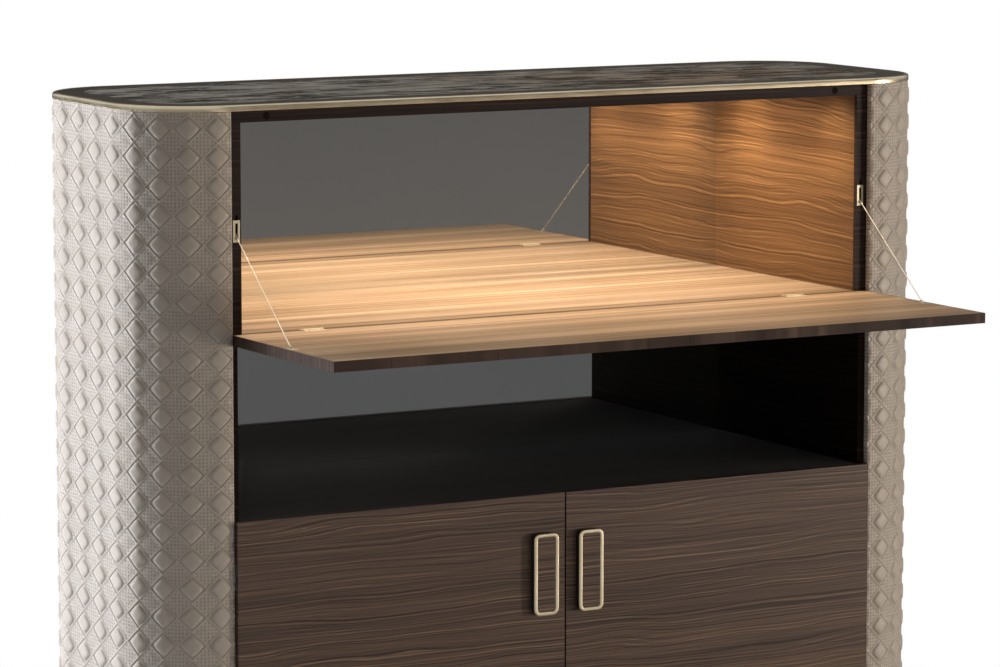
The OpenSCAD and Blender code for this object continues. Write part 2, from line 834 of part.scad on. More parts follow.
module flap_hinge_floor_leaves() color("#d8c79c") both_sides() {
    difference() {
        union() {
            span([flap_hinge_x - flap_hinge_w / 2, hinge_y + flap_knuckle_r + knuckle_clear,
                  hinge_z - flap_leaf_t],
                 [flap_hinge_x + flap_hinge_w / 2, hinge_y + flap_leaf_l, hinge_z]);
            for (s = [-1, 1]) {
                low = flap_hinge_x + min(s * outer_knuckle_from(), s * flap_hinge_w / 2);
                high = flap_hinge_x + max(s * outer_knuckle_from(), s * flap_hinge_w / 2);
                span([low, hinge_y, hinge_z - flap_leaf_t],
                     [high, hinge_y + flap_knuckle_r + knuckle_clear + eps, hinge_z]);
                rod_x(low, high, hinge_y, hinge_z, flap_knuckle_r);
            }
        }
        rod_x(flap_hinge_x - flap_hinge_w, flap_hinge_x + flap_hinge_w, hinge_y, hinge_z,
              flap_pin_r);
    }
}

module flap_hinge_flap_leaves() color("#d8c79c") both_sides() {
    difference() {
        union() {
            span([flap_hinge_x - flap_hinge_w / 2, hinge_y - flap_leaf_l, hinge_z - flap_leaf_t],
                 [flap_hinge_x + flap_hinge_w / 2, hinge_y - flap_knuckle_r - knuckle_clear,
                  hinge_z]);
            span([flap_hinge_x - flap_mid_knuckle_w / 2,
                  hinge_y - flap_knuckle_r - knuckle_clear - eps, hinge_z - flap_leaf_t],
                 [flap_hinge_x + flap_mid_knuckle_w / 2, hinge_y, hinge_z]);
            rod_x(flap_hinge_x - flap_mid_knuckle_w / 2, flap_hinge_x + flap_mid_knuckle_w / 2,
                  hinge_y, hinge_z, flap_knuckle_r);
        }
        rod_x(flap_hinge_x - flap_hinge_w, flap_hinge_x + flap_hinge_w, hinge_y, hinge_z,
              flap_pin_r + pin_play);
    }
}

module flap_hinge_pins() color("#b9a77c") both_sides() {
    rod_x(flap_hinge_x - flap_hinge_w / 2, flap_hinge_x + flap_hinge_w / 2, hinge_y, hinge_z,
          flap_pin_r);
}

function catch_z() = top_board_z + board_t / 2;

module flap_catches() color("#5b5b5d") both_sides() {
    rod_y(catch_x, carcase_front, carcase_front + catch_l, catch_z(), catch_d / 2);
}

// The strike plates, drawn flat in the open flap
function strike_y() = hinge_y - (catch_z() - hinge_z);

module flap_strikes() color("#c9c6bf") both_sides() {
    rod_z(catch_x, strike_y(), hinge_z - strike_t, hinge_z, catch_d / 2);
}

module strike_room() {
    both_sides()
        rod_z(catch_x, strike_y(), hinge_z - strike_t, hinge_z + eps, catch_d / 2 + inlay_clear);
}

module bracket_room() {
    both_sides()
        span([stay_x - bracket_w / 2 - inlay_clear, bracket_y() - bracket_l / 2 - inlay_clear,
              hinge_z - bracket_t],
             [stay_x + bracket_w / 2 + inlay_clear, bracket_y() + bracket_l / 2 + inlay_clear,
              hinge_z + eps]);
}

// The lining's place in the flap, up to a given height
module lining_place(top) {
    span([-panel_x + flap_lip, hinge_y - flap_len + flap_lip, hinge_z - lining_t],
         [panel_x - flap_lip, hinge_y - flap_lip, top]);
}

module flap_panel() color("#3a302b") {
    difference() {
        span([-panel_x, hinge_y - flap_len, hinge_z - panel_t], [panel_x, hinge_y, hinge_z]);
        lining_place(hinge_z + eps);
        knuckle_room();
        leaf_room();
    }
}

module flap_lining() color("#c79258") {
    difference() {
        lining_place(hinge_z);
        knuckle_room();
        leaf_room();
        bracket_room();
        strike_room();
    }
}

function bracket_y() = eye_y - bracket_l / 2 + eye_r + bracket_margin;

// Flush plate with a small eye that holds the end of the cable
module stay_bracket(side) color("#d8c79c") on_side(side) {
    span([stay_x - bracket_w / 2, bracket_y() - bracket_l / 2, hinge_z - bracket_t],
         [stay_x + bracket_w / 2, bracket_y() + bracket_l / 2, hinge_z]);
    rod_x(stay_x - eye_w / 2, stay_x + eye_w / 2, eye_y, eye_z, eye_r);
    span([stay_x - eye_w / 2, eye_y - eye_r, hinge_z - eps],
         [stay_x + eye_w / 2, eye_y + eye_r, eye_z]);
}

// Steel cable from the eye through the keeper to its guide tube, straight while it carries
// the open flap
module stay_cable(side) color("#d9cfb4") on_side(side) {
    run = pocket_back - eye_y;
    rise = guide_z - eye_z;
    length = sqrt(run * run + rise * rise) - eye_r - cable_end_gap;
    translate([stay_x, eye_y, eye_z]) rotate([-90 + atan2(rise, run), 0, 0])
        translate([0, 0, eye_r]) cylinder(r = cable_d / 2, h = length);
}

// Room in the side panel's front edge for the hinge leaf
module side_leaf_room(h) {
    span([door_axis_x - side_leaf_w / 2 - inlay_clear, carcase_front - eps,
          h - side_leaf_h / 2 - inlay_clear],
         [door_axis_x + side_leaf_w / 2 + inlay_clear, carcase_front + door_leaf_t,
          h + side_leaf_h / 2 + inlay_clear]);
}

// Leaf in the side panel's edge, with an arm that carries the middle knuckle
module door_hinge_side_leaves() color("#b9b0a0") both_sides() for (h = hinge_heights) {
    difference() {
        union() {
            span([door_axis_x - side_leaf_w / 2, carcase_front, h - side_leaf_h / 2],
                 [door_axis_x + side_leaf_w / 2, carcase_front + door_leaf_t, h + side_leaf_h / 2]);
            span([door_axis_x - arm_t / 2, door_axis_y, h - door_knuckle_h / 2],
                 [door_axis_x + arm_t / 2, carcase_front + eps, h + door_knuckle_h / 2]);
            rod_z(door_axis_x, door_axis_y, h - door_knuckle_h / 2, h + door_knuckle_h / 2,
                  door_knuckle_r);
        }
        rod_z(door_axis_x, door_axis_y, h - door_knuckle_h, h + door_knuckle_h,
              door_pin_r + pin_play);
    }
}

// Height of the whole hinge on the door: three knuckles and the play between them
function door_leaf_h() = 3 * door_knuckle_h + 2 * knuckle_play;

module door_hinge_leaves(side) color("#b9b0a0") on_side(side) for (h = hinge_heights) {
    difference() {
        union() {
            for (s = [-1, 1]) {
                low = h + (s > 0 ? door_knuckle_h / 2 + knuckle_play : -door_leaf_h() / 2);
                rod_z(door_axis_x, door_axis_y, low, low + door_knuckle_h, door_knuckle_r);
                span([door_axis_x - door_knuckle_r, door_axis_y, low],
                     [panel_x, panel_back - door_leaf_t, low + door_knuckle_h]);
            }
        }
        rod_z(door_axis_x, door_axis_y, h - door_leaf_h(), h + door_leaf_h(), door_pin_r);
    }
}

module door_hinge_pins(side) color("#9c9484") on_side(side) for (h = hinge_heights)
    rod_z(door_axis_x, door_axis_y, h - door_leaf_h() / 2, h + door_leaf_h() / 2, door_pin_r);

// Door with a notch at each hinge, open to its outer edge and to its back
module door(side) color("#4e3f37") on_side(side) {
    difference() {
        span([door_mid_gap / 2, door_front, door_z], [panel_x, panel_back, door_top_z]);
        for (h = hinge_heights) {
            notch = door_knuckle_r + knuckle_play;
            span([door_axis_x - notch, door_axis_y, h - door_leaf_h() / 2],
                 [panel_x + eps, panel_back + eps, h + door_leaf_h() / 2]);
            rod_z(door_axis_x, door_axis_y, h - door_leaf_h() / 2, h + door_leaf_h() / 2, notch);
            span([door_axis_x, door_axis_y - notch, h - door_leaf_h() / 2],
                 [panel_x + eps, door_axis_y + eps, h + door_leaf_h() / 2]);
        }
    }
}

// Upright rounded rectangle, drawn in the door's plane
module handle_plan(inset) {
    r = handle_r - inset;
    w = handle_w - 2 * inset;
    h = handle_h - 2 * inset;
    square([w - 2 * r, h], center = true);
    square([w, h - 2 * r], center = true);
    for (sx = [-1, 1], sy = [-1, 1]) translate([sx * (w / 2 - r), sy * (h / 2 - r)]) circle(r = r);
}

// A slice of the handle between two distances in front of the door
module handle_slice(from, to) {
    translate([handle_x, door_front - from, handle_z]) rotate([90, 0, 0])
        linear_extrude(to - from) children();
}

module handle_body(side) color("#1d1916") on_side(side)
    handle_slice(0, handle_core_d) handle_plan(handle_core_inset);

module handle_frame(side) color("#cfc3a6") on_side(side)
    handle_slice(handle_core_d, handle_d) difference() {
        handle_plan(0);
        handle_plan(handle_frame_w);
    }

module handle_inlay(side) color("#4e3f37") on_side(side)
    handle_slice(handle_core_d, handle_d - handle_inlay_drop)
        handle_plan(handle_frame_w + inlay_clear);

plinth();
levelling_feet();
base_rim();
bottom_panel();
carcase_side(-1);  // side_left
carcase_side(1);  // side_right
back_panel();
centre_partition();
shelf(-1);  // shelf_left
shelf(1);  // shelf_right
shelf_pins();
niche_floor();
bar_floor();
bar_floor_lining();
bar_liner(-1);  // bar_liner_left
bar_liner(1);  // bar_liner_right
edge_post(-1);  // edge_post_left
edge_post(1);  // edge_post_right
top_board();
top_rim();
marble_top();
niche_mirror();
bar_mirror();
pod_core(-1);  // pod_core_left
pod_core(1);  // pod_core_right
upholstery(-1);  // upholstery_left
upholstery(1);  // upholstery_right
led_housings();
led_lenses();
led_driver();
led_lead();
stay_keeper(-1);  // stay_keeper_left
stay_keeper(1);  // stay_keeper_right
stay_guide_tubes();
stay_retractor(-1);  // stay_retractor_left
stay_retractor(1);  // stay_retractor_right
flap_hinge_floor_leaves();
flap_hinge_pins();
flap_catches();
door_hinge_side_leaves();
flap_panel();
flap_lining();
flap_hinge_flap_leaves();
stay_bracket(-1);  // stay_bracket_left
stay_bracket(1);  // stay_bracket_right
stay_cable(-1);  // stay_cable_left
stay_cable(1);  // stay_cable_right
flap_strikes();
door(-1);  // door_left
door_hinge_leaves(-1);  // door_hinge_leaves_left
door_hinge_pins(-1);  // door_hinge_pins_left
handle_body(-1);  // handle_body_left
handle_frame(-1);  // handle_frame_left
handle_inlay(-1);  // handle_inlay_left
door(1);  // door_right
door_hinge_leaves(1);  // door_hinge_leaves_right
door_hinge_pins(1);  // door_hinge_pins_right
handle_body(1);  // handle_body_right
handle_frame(1);  // handle_frame_right
handle_inlay(1);  // handle_inlay_right
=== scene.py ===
# %% [markdown]
# # A highboard with a drop-flap bar
#
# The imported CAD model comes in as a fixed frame, in metres, with its front towards -Y and the middle of its
# foot at the origin. Every cell below gives one piece or one finish its real look: the solids of wood, stone,
# glass and metal stay where the CAD has them and get new materials, and the soft covers, the swept metal rims
# and the small repeated fittings are built anew in place of their solids.

# %% Load the frame
import math

import bmesh
import bpy
from mathutils import Matrix, Vector


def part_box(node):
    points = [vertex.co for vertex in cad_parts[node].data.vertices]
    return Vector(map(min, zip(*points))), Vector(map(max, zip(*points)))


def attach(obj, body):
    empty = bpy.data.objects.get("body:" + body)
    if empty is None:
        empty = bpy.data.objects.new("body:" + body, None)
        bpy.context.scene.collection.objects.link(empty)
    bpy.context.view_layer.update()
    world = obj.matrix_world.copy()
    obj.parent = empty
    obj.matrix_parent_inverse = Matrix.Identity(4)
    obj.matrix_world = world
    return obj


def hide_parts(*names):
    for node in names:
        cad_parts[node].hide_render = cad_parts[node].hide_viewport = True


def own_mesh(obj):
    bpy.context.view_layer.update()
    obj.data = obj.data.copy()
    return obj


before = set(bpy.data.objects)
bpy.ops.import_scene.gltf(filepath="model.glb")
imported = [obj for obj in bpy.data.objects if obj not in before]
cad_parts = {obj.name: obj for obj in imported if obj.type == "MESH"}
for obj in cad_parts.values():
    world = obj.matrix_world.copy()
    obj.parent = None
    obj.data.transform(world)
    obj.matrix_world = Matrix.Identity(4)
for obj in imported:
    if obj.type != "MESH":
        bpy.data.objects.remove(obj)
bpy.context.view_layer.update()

MM = 0.001

# %% [markdown]
# ## The camera
#
# The photograph is taken with a long lens from the front left, a little above the cabinet, and its bottom
# edge cuts the doors. A camera could be turned by eye until the edges meet, but its place, its turn and its
# lens pull against one another. So they were fitted together to measured edge points of the picture.

# %% Camera
CAMERA_PLACE = (-3.6362, -6.4935, 1.8948)
TILT_DOWN, TURN_RIGHT = 0.13010, 0.51222
FILM_WIDTH, LENS = 36, 158.7

photographer = bpy.data.objects.new("photographer", bpy.data.cameras.new("photographer"))
photographer.location = CAMERA_PLACE
photographer.rotation_euler = (math.pi / 2 - TILT_DOWN, 0, -TURN_RIGHT)
photographer.data.sensor_width = FILM_WIDTH
photographer.data.lens = LENS
photographer.data.clip_end = 200
bpy.context.scene.collection.objects.link(photographer)
bpy.context.scene.camera = photographer
print("lens", LENS, "mm")

# %% [markdown]
# ## Small tools
#
# Every finish below is a tree of nodes, and a node takes four or five lines when it is written out. `add`
# makes one node of any tree in one call. Its links go by the input's name or number: a node or a socket is
# joined to the input, and a plain value is set there. Everything else is a setting of the node itself.

# %% Tools for nodes and meshes
def linear(hex_colour):
    """A colour as it is read off a screen, as the shader's linear values."""
    parts = [int(hex_colour[i:i + 2], 16) / 255 for i in (1, 3, 5)]
    return [p / 12.92 if p < 0.04045 else ((p + 0.055) / 1.055) ** 2.4 for p in parts] + [1.0]


def add(tree, kind, links={}, stops=None, **settings):
    """One node. stops are a colour ramp's (place, colour) pairs."""
    node = tree.nodes.new(kind)
    for name, value in settings.items():
        setattr(node, name, value)
    for name, value in links.items():
        if isinstance(value, bpy.types.Node):
            value = value.outputs[0]
        if isinstance(value, bpy.types.NodeSocket):
            tree.links.new(value, node.inputs[name])
        else:
            node.inputs[name].default_value = value
    if stops:
        ramp = node.color_ramp.elements
        while len(ramp) < len(stops):
            ramp.new(0.5)
        for element, (place, colour) in zip(ramp, stops):
            element.position = place
            element.color = linear(colour) if isinstance(colour, str) else [colour] * 3 + [1]
    return node


def finish(name, roughness, **constants):
    """A new material, its tree and its surface shader. constants are named as the shader's inputs are."""
    material = bpy.data.materials.new(name)
    material.use_nodes = True
    tree = material.node_tree
    surface = tree.nodes["Principled BSDF"]
    surface.inputs["Roughness"].default_value = roughness
    for key, value in constants.items():
        surface.inputs[key.replace("_", " ")].default_value = value
    return material, tree, surface


def object_mm(tree, scale=(1, 1, 1), place=(0, 0, 0)):
    """The object's own coordinates in millimetres, divided by a pattern's size along each axis."""
    coords = add(tree, "ShaderNodeTexCoord")
    return add(tree, "ShaderNodeMapping", {"Vector": coords.outputs["Object"], "Location": place,
                                           "Scale": [1 / (MM * s) for s in scale]})


def arris_highlight_mask(tree, width, start, end):
    """1 on the edges of a piece, within that many mm, and 0 on its flats."""
    bevelled = add(tree, "ShaderNodeBevel", {"Radius": width * MM}, samples=4)
    plain = add(tree, "ShaderNodeNewGeometry")
    same = add(tree, "ShaderNodeVectorMath", {0: bevelled, 1: plain.outputs["Normal"]},
               operation="DOT_PRODUCT")
    return add(tree, "ShaderNodeMapRange", {"Value": same.outputs["Value"], "From Min": start,
                                            "From Max": end, "To Min": 1.0, "To Max": 0.0})


def line_at(tree, value, place, inner, outer, share):
    """share where the value is within inner of a place, falling to 0 at outer from it."""
    off = add(tree, "ShaderNodeMath", {0: value, 1: place}, operation="SUBTRACT")
    off = add(tree, "ShaderNodeMath", {0: off}, operation="ABSOLUTE")
    return add(tree, "ShaderNodeMapRange", {"Value": off, "From Min": inner, "From Max": outer,
                                            "To Min": share, "To Max": 0.0})


def piece(name, mesh, body, material=None, smooth=False):
    """A mesh as a finished piece at the origin that rides on a body."""
    obj = bpy.data.objects.new(name, mesh)
    bpy.context.scene.collection.objects.link(obj)
    if material:
        mesh.materials.clear()
        mesh.materials.append(material)
    if smooth:
        mesh.shade_smooth()
    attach(obj, body)
    return obj


def mesh_of(name, points, faces):
    """A mesh from points in mm."""
    mesh = bpy.data.meshes.new(name)
    mesh.from_pydata([[c * MM for c in p] for p in points], [], faces)
    mesh.update()
    return mesh


def faced(mesh):
    """Merges doubles and turns all faces outwards."""
    work = bmesh.new()
    work.from_mesh(mesh)
    bmesh.ops.remove_doubles(work, verts=work.verts, dist=1e-6)
    bmesh.ops.recalc_face_normals(work, faces=work.faces)
    work.to_mesh(mesh)
    work.free()


def bake(name, holder, tree, **inputs):
    """Runs a Geometry Nodes tree on a holder object and returns the result as a plain mesh."""
    modifier = holder.modifiers.new(name, "NODES")
    modifier.node_group = tree
    for item in tree.interface.items_tree:
        if item.item_type == "SOCKET" and item.in_out == "INPUT" and item.name in inputs:
            modifier[item.identifier] = inputs[item.name]
    holder.update_tag()
    depsgraph = bpy.context.evaluated_depsgraph_get()
    mesh = bpy.data.meshes.new_from_object(holder.evaluated_get(depsgraph), depsgraph=depsgraph)
    mesh.name = name
    bpy.data.objects.remove(holder)
    return mesh


def node_tree(name, *sockets):
    """An empty Geometry Nodes tree. Each socket is (name, type) and comes after the geometry."""
    tree = bpy.data.node_groups.new(name, "GeometryNodeTree")
    tree.interface.new_socket("Geometry", in_out="INPUT", socket_type="NodeSocketGeometry")
    for label, kind in sockets:
        tree.interface.new_socket(label, in_out="INPUT", socket_type=kind)
    tree.interface.new_socket("Geometry", in_out="OUTPUT", socket_type="NodeSocketGeometry")
    return tree, add(tree, "NodeGroupInput"), add(tree, "NodeGroupOutput")


# %% [markdown]
# ## The walnut veneer
#
# A picture of veneer would repeat, and look the same on every board. Here the figure is cut from a log that
# the material imagines. A flat-cut veneer is a plane through a log, and the distance of each of its points
# from the log's heart gives the growth rings: far from the heart they run straight along the board, and near
# it they close into the pointed arches that veneer makers call cathedrals. So the colour comes from one
# distance, which wanders slowly along the grain, through a noise of growth rings a few millimetres apart, and
# much finer fibres and pores follow it.

# %% Walnut
# How long and how wide the veneer's features are in mm, along and across the grain. Real pores are about a
# third as wide, and are drawn as wide as the picture needs to show them.
RIPPLE = (110, 20)
HEART_DEPTH = (260, 900)
STREAKS = (420, 1.9)
FIBRES = (190, 0.9)
PORES = (9, 0.45)
BAND_LENGTH = 1900
PORE_BROWN, JOINT_BROWN = "#1d130d", "#2a1b10"


def walnut(name, stops, grain, across, heart, ring=9, sway=26, depth=(14, 60), shift=(0, 0), roughness=0.42,
           figure=0.8, gloss=0.22, fine=0.16, bands=(60, 0.0), wave=(430, 120), joint=None):
    """Veneer whose grain runs along one axis (X, Y or Z) of the object, with the log's heart that many mm up
    the axis across it. Sizes are in mm. ring is the rings' width, sway how far they wander, wave how long and
    how wide one bend of them is, and depth how deep below the face the heart lies at the least and at the
    most. figure and fine are the shares of the rings and of the finest fibres, and bands are the width and
    the share of broad lighter and darker bands. joint is a place on the across axis where the veneer's edge
    is stained dark."""
    material, tree, surface = finish(name, roughness, Specular_IOR_Level=gloss)
    axes = add(tree, "ShaderNodeSeparateXYZ", {"Vector": object_mm(tree)})
    along = add(tree, "ShaderNodeMath", {0: axes.outputs[grain], 1: shift[0]}, operation="ADD")
    over = add(tree, "ShaderNodeMath", {0: axes.outputs[across], 1: -heart}, operation="ADD")
    flat = add(tree, "ShaderNodeCombineXYZ", {"X": along, "Y": over, "Z": shift[1]})

    def noise(size, detail=2.0, roughness=0.5):
        share = add(tree, "ShaderNodeVectorMath", {0: flat, 1: (1 / size[0], 1 / size[1], 1)},
                    operation="MULTIPLY")
        return add(tree, "ShaderNodeTexNoise", {"Vector": share, "Scale": 1.0, "Detail": detail,
                                                "Roughness": roughness})

    # The slow wander of the rings, a small ripple on it, and the depth of the heart below the face
    wander = add(tree, "ShaderNodeMapRange", {"Value": noise(wave, 1.0), "To Min": -sway, "To Max": sway})
    ripple = add(tree, "ShaderNodeMapRange", {"Value": noise(RIPPLE), "To Min": -sway / 5,
                                              "To Max": sway / 5})
    moved = add(tree, "ShaderNodeMath", {0: over, 1: wander}, operation="ADD")
    moved = add(tree, "ShaderNodeMath", {0: moved, 1: ripple}, operation="ADD")
    below = add(tree, "ShaderNodeMapRange", {"Value": noise(HEART_DEPTH, 1.0), "From Min": 0.3,
                                             "From Max": 0.7, "To Min": depth[0], "To Max": depth[1]})
    both = add(tree, "ShaderNodeCombineXYZ", {"X": moved, "Y": below})
    from_heart = add(tree, "ShaderNodeVectorMath", {0: both}, operation="LENGTH")
    years = add(tree, "ShaderNodeMath", {0: from_heart.outputs["Value"], 1: 1 / ring}, operation="MULTIPLY")
    mixed = add(tree, "ShaderNodeTexNoise", {"W": years, "Scale": 1.0, "Detail": 4.0, "Roughness": 0.7},
                noise_dimensions="1D")
    # Streaks, broad bands and fine fibres are laid over the rings
    for share, layer in ((1 - figure, noise(STREAKS, 3.0, 0.65)),
                         (bands[1], noise((BAND_LENGTH, bands[0]), 2.0, 0.6)),
                         (fine, noise(FIBRES, 2.0, 0.6))):
        mixed = add(tree, "ShaderNodeMix", {"Factor": share, "A": mixed, "B": layer}, data_type="FLOAT")
    colour = add(tree, "ShaderNodeValToRGB", {"Fac": mixed}, stops=stops)
    # Pores show as short dark dashes along the grain
    pores = add(tree, "ShaderNodeMapRange", {"Value": noise(PORES, 1.0), "From Min": 0.66, "From Max": 0.74})
    filled = add(tree, "ShaderNodeMath", {0: pores, 1: 0.45}, operation="MULTIPLY")
    darker = add(tree, "ShaderNodeMix", {"Factor": filled, "A": colour, "B": linear(PORE_BROWN)},
                 data_type="RGBA")
    if joint is not None:
        stain = line_at(tree, axes.outputs[across], joint, 5.0, 7.0, 0.75)
        darker = add(tree, "ShaderNodeMix", {"Factor": stain, "A": darker.outputs["Result"],
                                             "B": linear(JOINT_BROWN)}, data_type="RGBA")
    tree.links.new(darker.outputs["Result"], surface.inputs["Base Color"])
    # The dark parts are duller than the pale ones, and the pores are small dents
    dull = add(tree, "ShaderNodeMapRange", {"Value": mixed, "To Min": roughness + 0.1,
                                            "To Max": roughness - 0.06})
    tree.links.new(dull.outputs[0], surface.inputs["Roughness"])
    relief = add(tree, "ShaderNodeMath", {0: mixed, 1: pores}, operation="SUBTRACT")
    bump = add(tree, "ShaderNodeBump", {"Height": relief, "Strength": 0.08, "Distance": 0.25 * MM})
    tree.links.new(bump.outputs[0], surface.inputs["Normal"])
    return material


# The wood's tones, from its darkest to its palest part, as (place in the figure, colour). The doors and the
# carcase are stained dark. The bar's inside is oiled and keeps the wood's honey colour.
DOOR_STAIN = [(0.34, "#18110e"), (0.42, "#32251f"), (0.48, "#4a3b34"), (0.55, "#624e40"), (0.66, "#9a7d61")]
FLAP_STAIN = [(0.34, "#140e0c"), (0.43, "#281d19"), (0.53, "#3b2d26"), (0.66, "#645044")]
EDGE_STAIN = [(0.32, "#110c0a"), (0.44, "#1e1512"), (0.55, "#2a1f1b"), (0.68, "#4a3930")]
# The carcase sides' tones are darker than their stain: painted shade for the dim niche and cupboards
SIDE_STAIN_AND_SHADE = [(0.32, "#080505"), (0.43, "#120c0a"), (0.53, "#1d1510"), (0.68, "#37291d")]
# The niche floor's tones are paler and cooler than black stain: partly the stain, partly painted light
BLACK_STAIN_AND_LIGHT = [(0.30, "#626264"), (0.50, "#7a7a7b"), (0.70, "#8b8b8b"), (0.80, "#959493")]
FLOOR_OIL = [(0.33, "#524431"), (0.43, "#79674d"), (0.50, "#927f69"), (0.57, "#ac9982"), (0.67, "#d0c2aa")]
FLAP_OIL = [(0.33, "#5b4b38"), (0.43, "#877359"), (0.50, "#a48e75"), (0.57, "#c0a88c"), (0.67, "#e0cdb1")]
WALL_OIL = [(0.32, "#281b0b"), (0.41, "#452f19"), (0.49, "#5d4328"), (0.57, "#765838"), (0.67, "#a2825a")]

# What the dark fronts share, what the two doors share, and what the two level linings share
FRONT_CUT = {"figure": 0.66, "fine": 0.2, "bands": (40, 0.2), "wave": (300, 52)}
DOOR_CUT = {"ring": 3.8, "sway": 13, "depth": (26, 75), **FRONT_CUT}
LEVEL_CUT = {"ring": 9, "sway": 6, "depth": (30, 60), "figure": 0.6, "fine": 0.12}

walnut_door_left = walnut("walnut veneer, left door", DOOR_STAIN, "X", "Z", 170, shift=(340, 3.1),
                          **DOOR_CUT)
walnut_door_right = walnut("walnut veneer, right door", DOOR_STAIN, "X", "Z", 190, shift=(-910, 8.7),
                           **DOOR_CUT)
walnut_edges = walnut("walnut veneer, carcase fronts", EDGE_STAIN, "X", "Z", 1600, ring=5, sway=9,
                      shift=(60, 1.3), wave=(330, 70), figure=0.6, fine=0.25, gloss=0.1)
walnut_posts = walnut("walnut veneer, posts", EDGE_STAIN, "X", "Z", 400, ring=7, sway=12, shift=(60, 5.3),
                      figure=0.8, fine=0.2, gloss=0.1)
# Painted shade: the carcase sides are darker than their stain
walnut_sides_shaded = walnut("walnut veneer with painted shade, carcase sides", SIDE_STAIN_AND_SHADE, "Y", "Z", 1060, ring=4.5, shift=(120, 2.2),
                      figure=0.7, fine=0.25, bands=(50, 0.15), gloss=0.02, roughness=0.6)
walnut_liner = walnut("oiled walnut veneer, bar sides", WALL_OIL, "Y", "Z", 1420, ring=4.4, sway=17,
                      depth=(40, 110), shift=(515, 6.4), figure=0.66, bands=(42, 0.3), wave=(260, 60))
walnut_front = walnut("walnut veneer, flap's outer face", FLAP_STAIN, "X", "Y", 300, ring=4.2, sway=12,
                      shift=(240, 2.7), gloss=0.1, **FRONT_CUT)
walnut_floor = walnut("oiled walnut veneer, bar floor", FLOOR_OIL, "X", "Y", 900, shift=(200, 4.9),
                      bands=(36, 0.45), joint=-226, **LEVEL_CUT)
walnut_flap = walnut("oiled walnut veneer, flap", FLAP_OIL, "X", "Y", 900, shift=(-340, 9.2),
                     bands=(44, 0.45), joint=-229, **LEVEL_CUT)
# Partly painted light: paler and cooler than a black stain
walnut_black_painted_light = walnut("black-stained walnut with painted light, niche floor", BLACK_STAIN_AND_LIGHT, "X", "Y", 900, ring=6, sway=5,
                      depth=(30, 60), roughness=0.8, gloss=0.03, bands=(80, 0.2))
walnut_handle = walnut("walnut veneer, handle inlays", DOOR_STAIN, "X", "Z", 300, ring=5, sway=5,
                       shift=(90, 7.3), figure=0.65, fine=0.25)
print("walnut finishes:", len([m for m in bpy.data.materials if "walnut" in m.name]))

# %% [markdown]
# ## The metals
#
# The rims are extruded bronze with a satin brush: the eye sees long soft highlights with fine streaks, and
# paler arrises. A surface of one roughness would look like plastic, so a noise that is long one way and short
# the other streaks it, and the bevelled normal finds the arrises, where a painted highlight lightens the
# metal. The small fittings are cast or stamped, blasted and gilded, which leaves them paler and duller.

# %% Metals
ARRIS_HIGHLIGHT = "#efe6d4"


def metal(name, light, dark, roughness, brushed=(60, 60, 1.2), marks=0.12):
    """Brushed metal. brushed are the streaks' sizes in mm along the object's axes, and marks is how far they
    change its roughness."""
    material, tree, surface = finish(name, roughness, Metallic=1.0)
    streak = add(tree, "ShaderNodeTexNoise", {"Vector": object_mm(tree, brushed), "Scale": 1.0,
                                              "Detail": 3.0})
    cloud = add(tree, "ShaderNodeTexNoise", {"Vector": object_mm(tree, (70, 70, 70)), "Scale": 1.0,
                                             "Detail": 2.0})
    share = add(tree, "ShaderNodeMapRange", {"Value": cloud, "From Min": 0.3, "From Max": 0.7})
    tint = add(tree, "ShaderNodeMix", {"Factor": share, "A": linear(light), "B": linear(dark)},
               data_type="RGBA")
    # A painted highlight lightens the arrises towards a pale colour
    arris_highlight = add(tree, "ShaderNodeMath", {0: arris_highlight_mask(tree, 0.5, 0.9, 0.995), 1: 0.35}, operation="MULTIPLY")
    edge = add(tree, "ShaderNodeMix", {"Factor": arris_highlight, "A": tint.outputs["Result"], "B": linear(ARRIS_HIGHLIGHT)},
               data_type="RGBA")
    tree.links.new(edge.outputs["Result"], surface.inputs["Base Color"])
    rough = add(tree, "ShaderNodeMapRange", {"Value": streak, "To Min": roughness - marks,
                                             "To Max": roughness + marks})
    tree.links.new(rough.outputs[0], surface.inputs["Roughness"])
    bump = add(tree, "ShaderNodeBump", {"Height": streak, "Strength": 0.06, "Distance": 0.05 * MM})
    tree.links.new(bump.outputs[0], surface.inputs["Normal"])
    return material


# Satin bronze, half dull, with a pale warm highlight along the edge band and the base rim
champagne = metal("satin champagne bronze", "#c4b89f", "#b3a68c", 0.31)
# The same bronze, browned before it was brushed along the cabinet: the flat border round the stone
dark_bronze = metal("dark bronze", "#4a4032", "#3e3629", 0.42, brushed=(60, 1.2, 60))
# Gilded and blasted, which spreads each lamp into a wide soft patch
fitting_gold = metal("pale gold fittings", "#cfc5ad", "#c0b498", 0.42)
hinge_gold = metal("matt pale gold hinges", "#fff3d8", "#f2e4c4", 0.62)
# Cold grey and streaked, as on ground and rolled parts
steel = metal("brushed steel", "#b9babc", "#a5a7aa", 0.32)
# Drawn wire, too thin to show a brush mark: its pattern is the same in every direction
wire_gold = metal("gilded steel wire", "#f3ecdd", "#e8dec8", 0.45, brushed=(2, 2, 2))

# %% [markdown]
# ## Lacquer and plastics
#
# The plinth and the handles' cores are sprayed with lacquer, and the feet, the retractors, the catches and
# the lead are moulded plastic. Up close both have a fine grain, orange peel or an etched mould, that breaks
# up their highlights. The grain is one fine noise in the roughness and the relief, of a real size in mm.

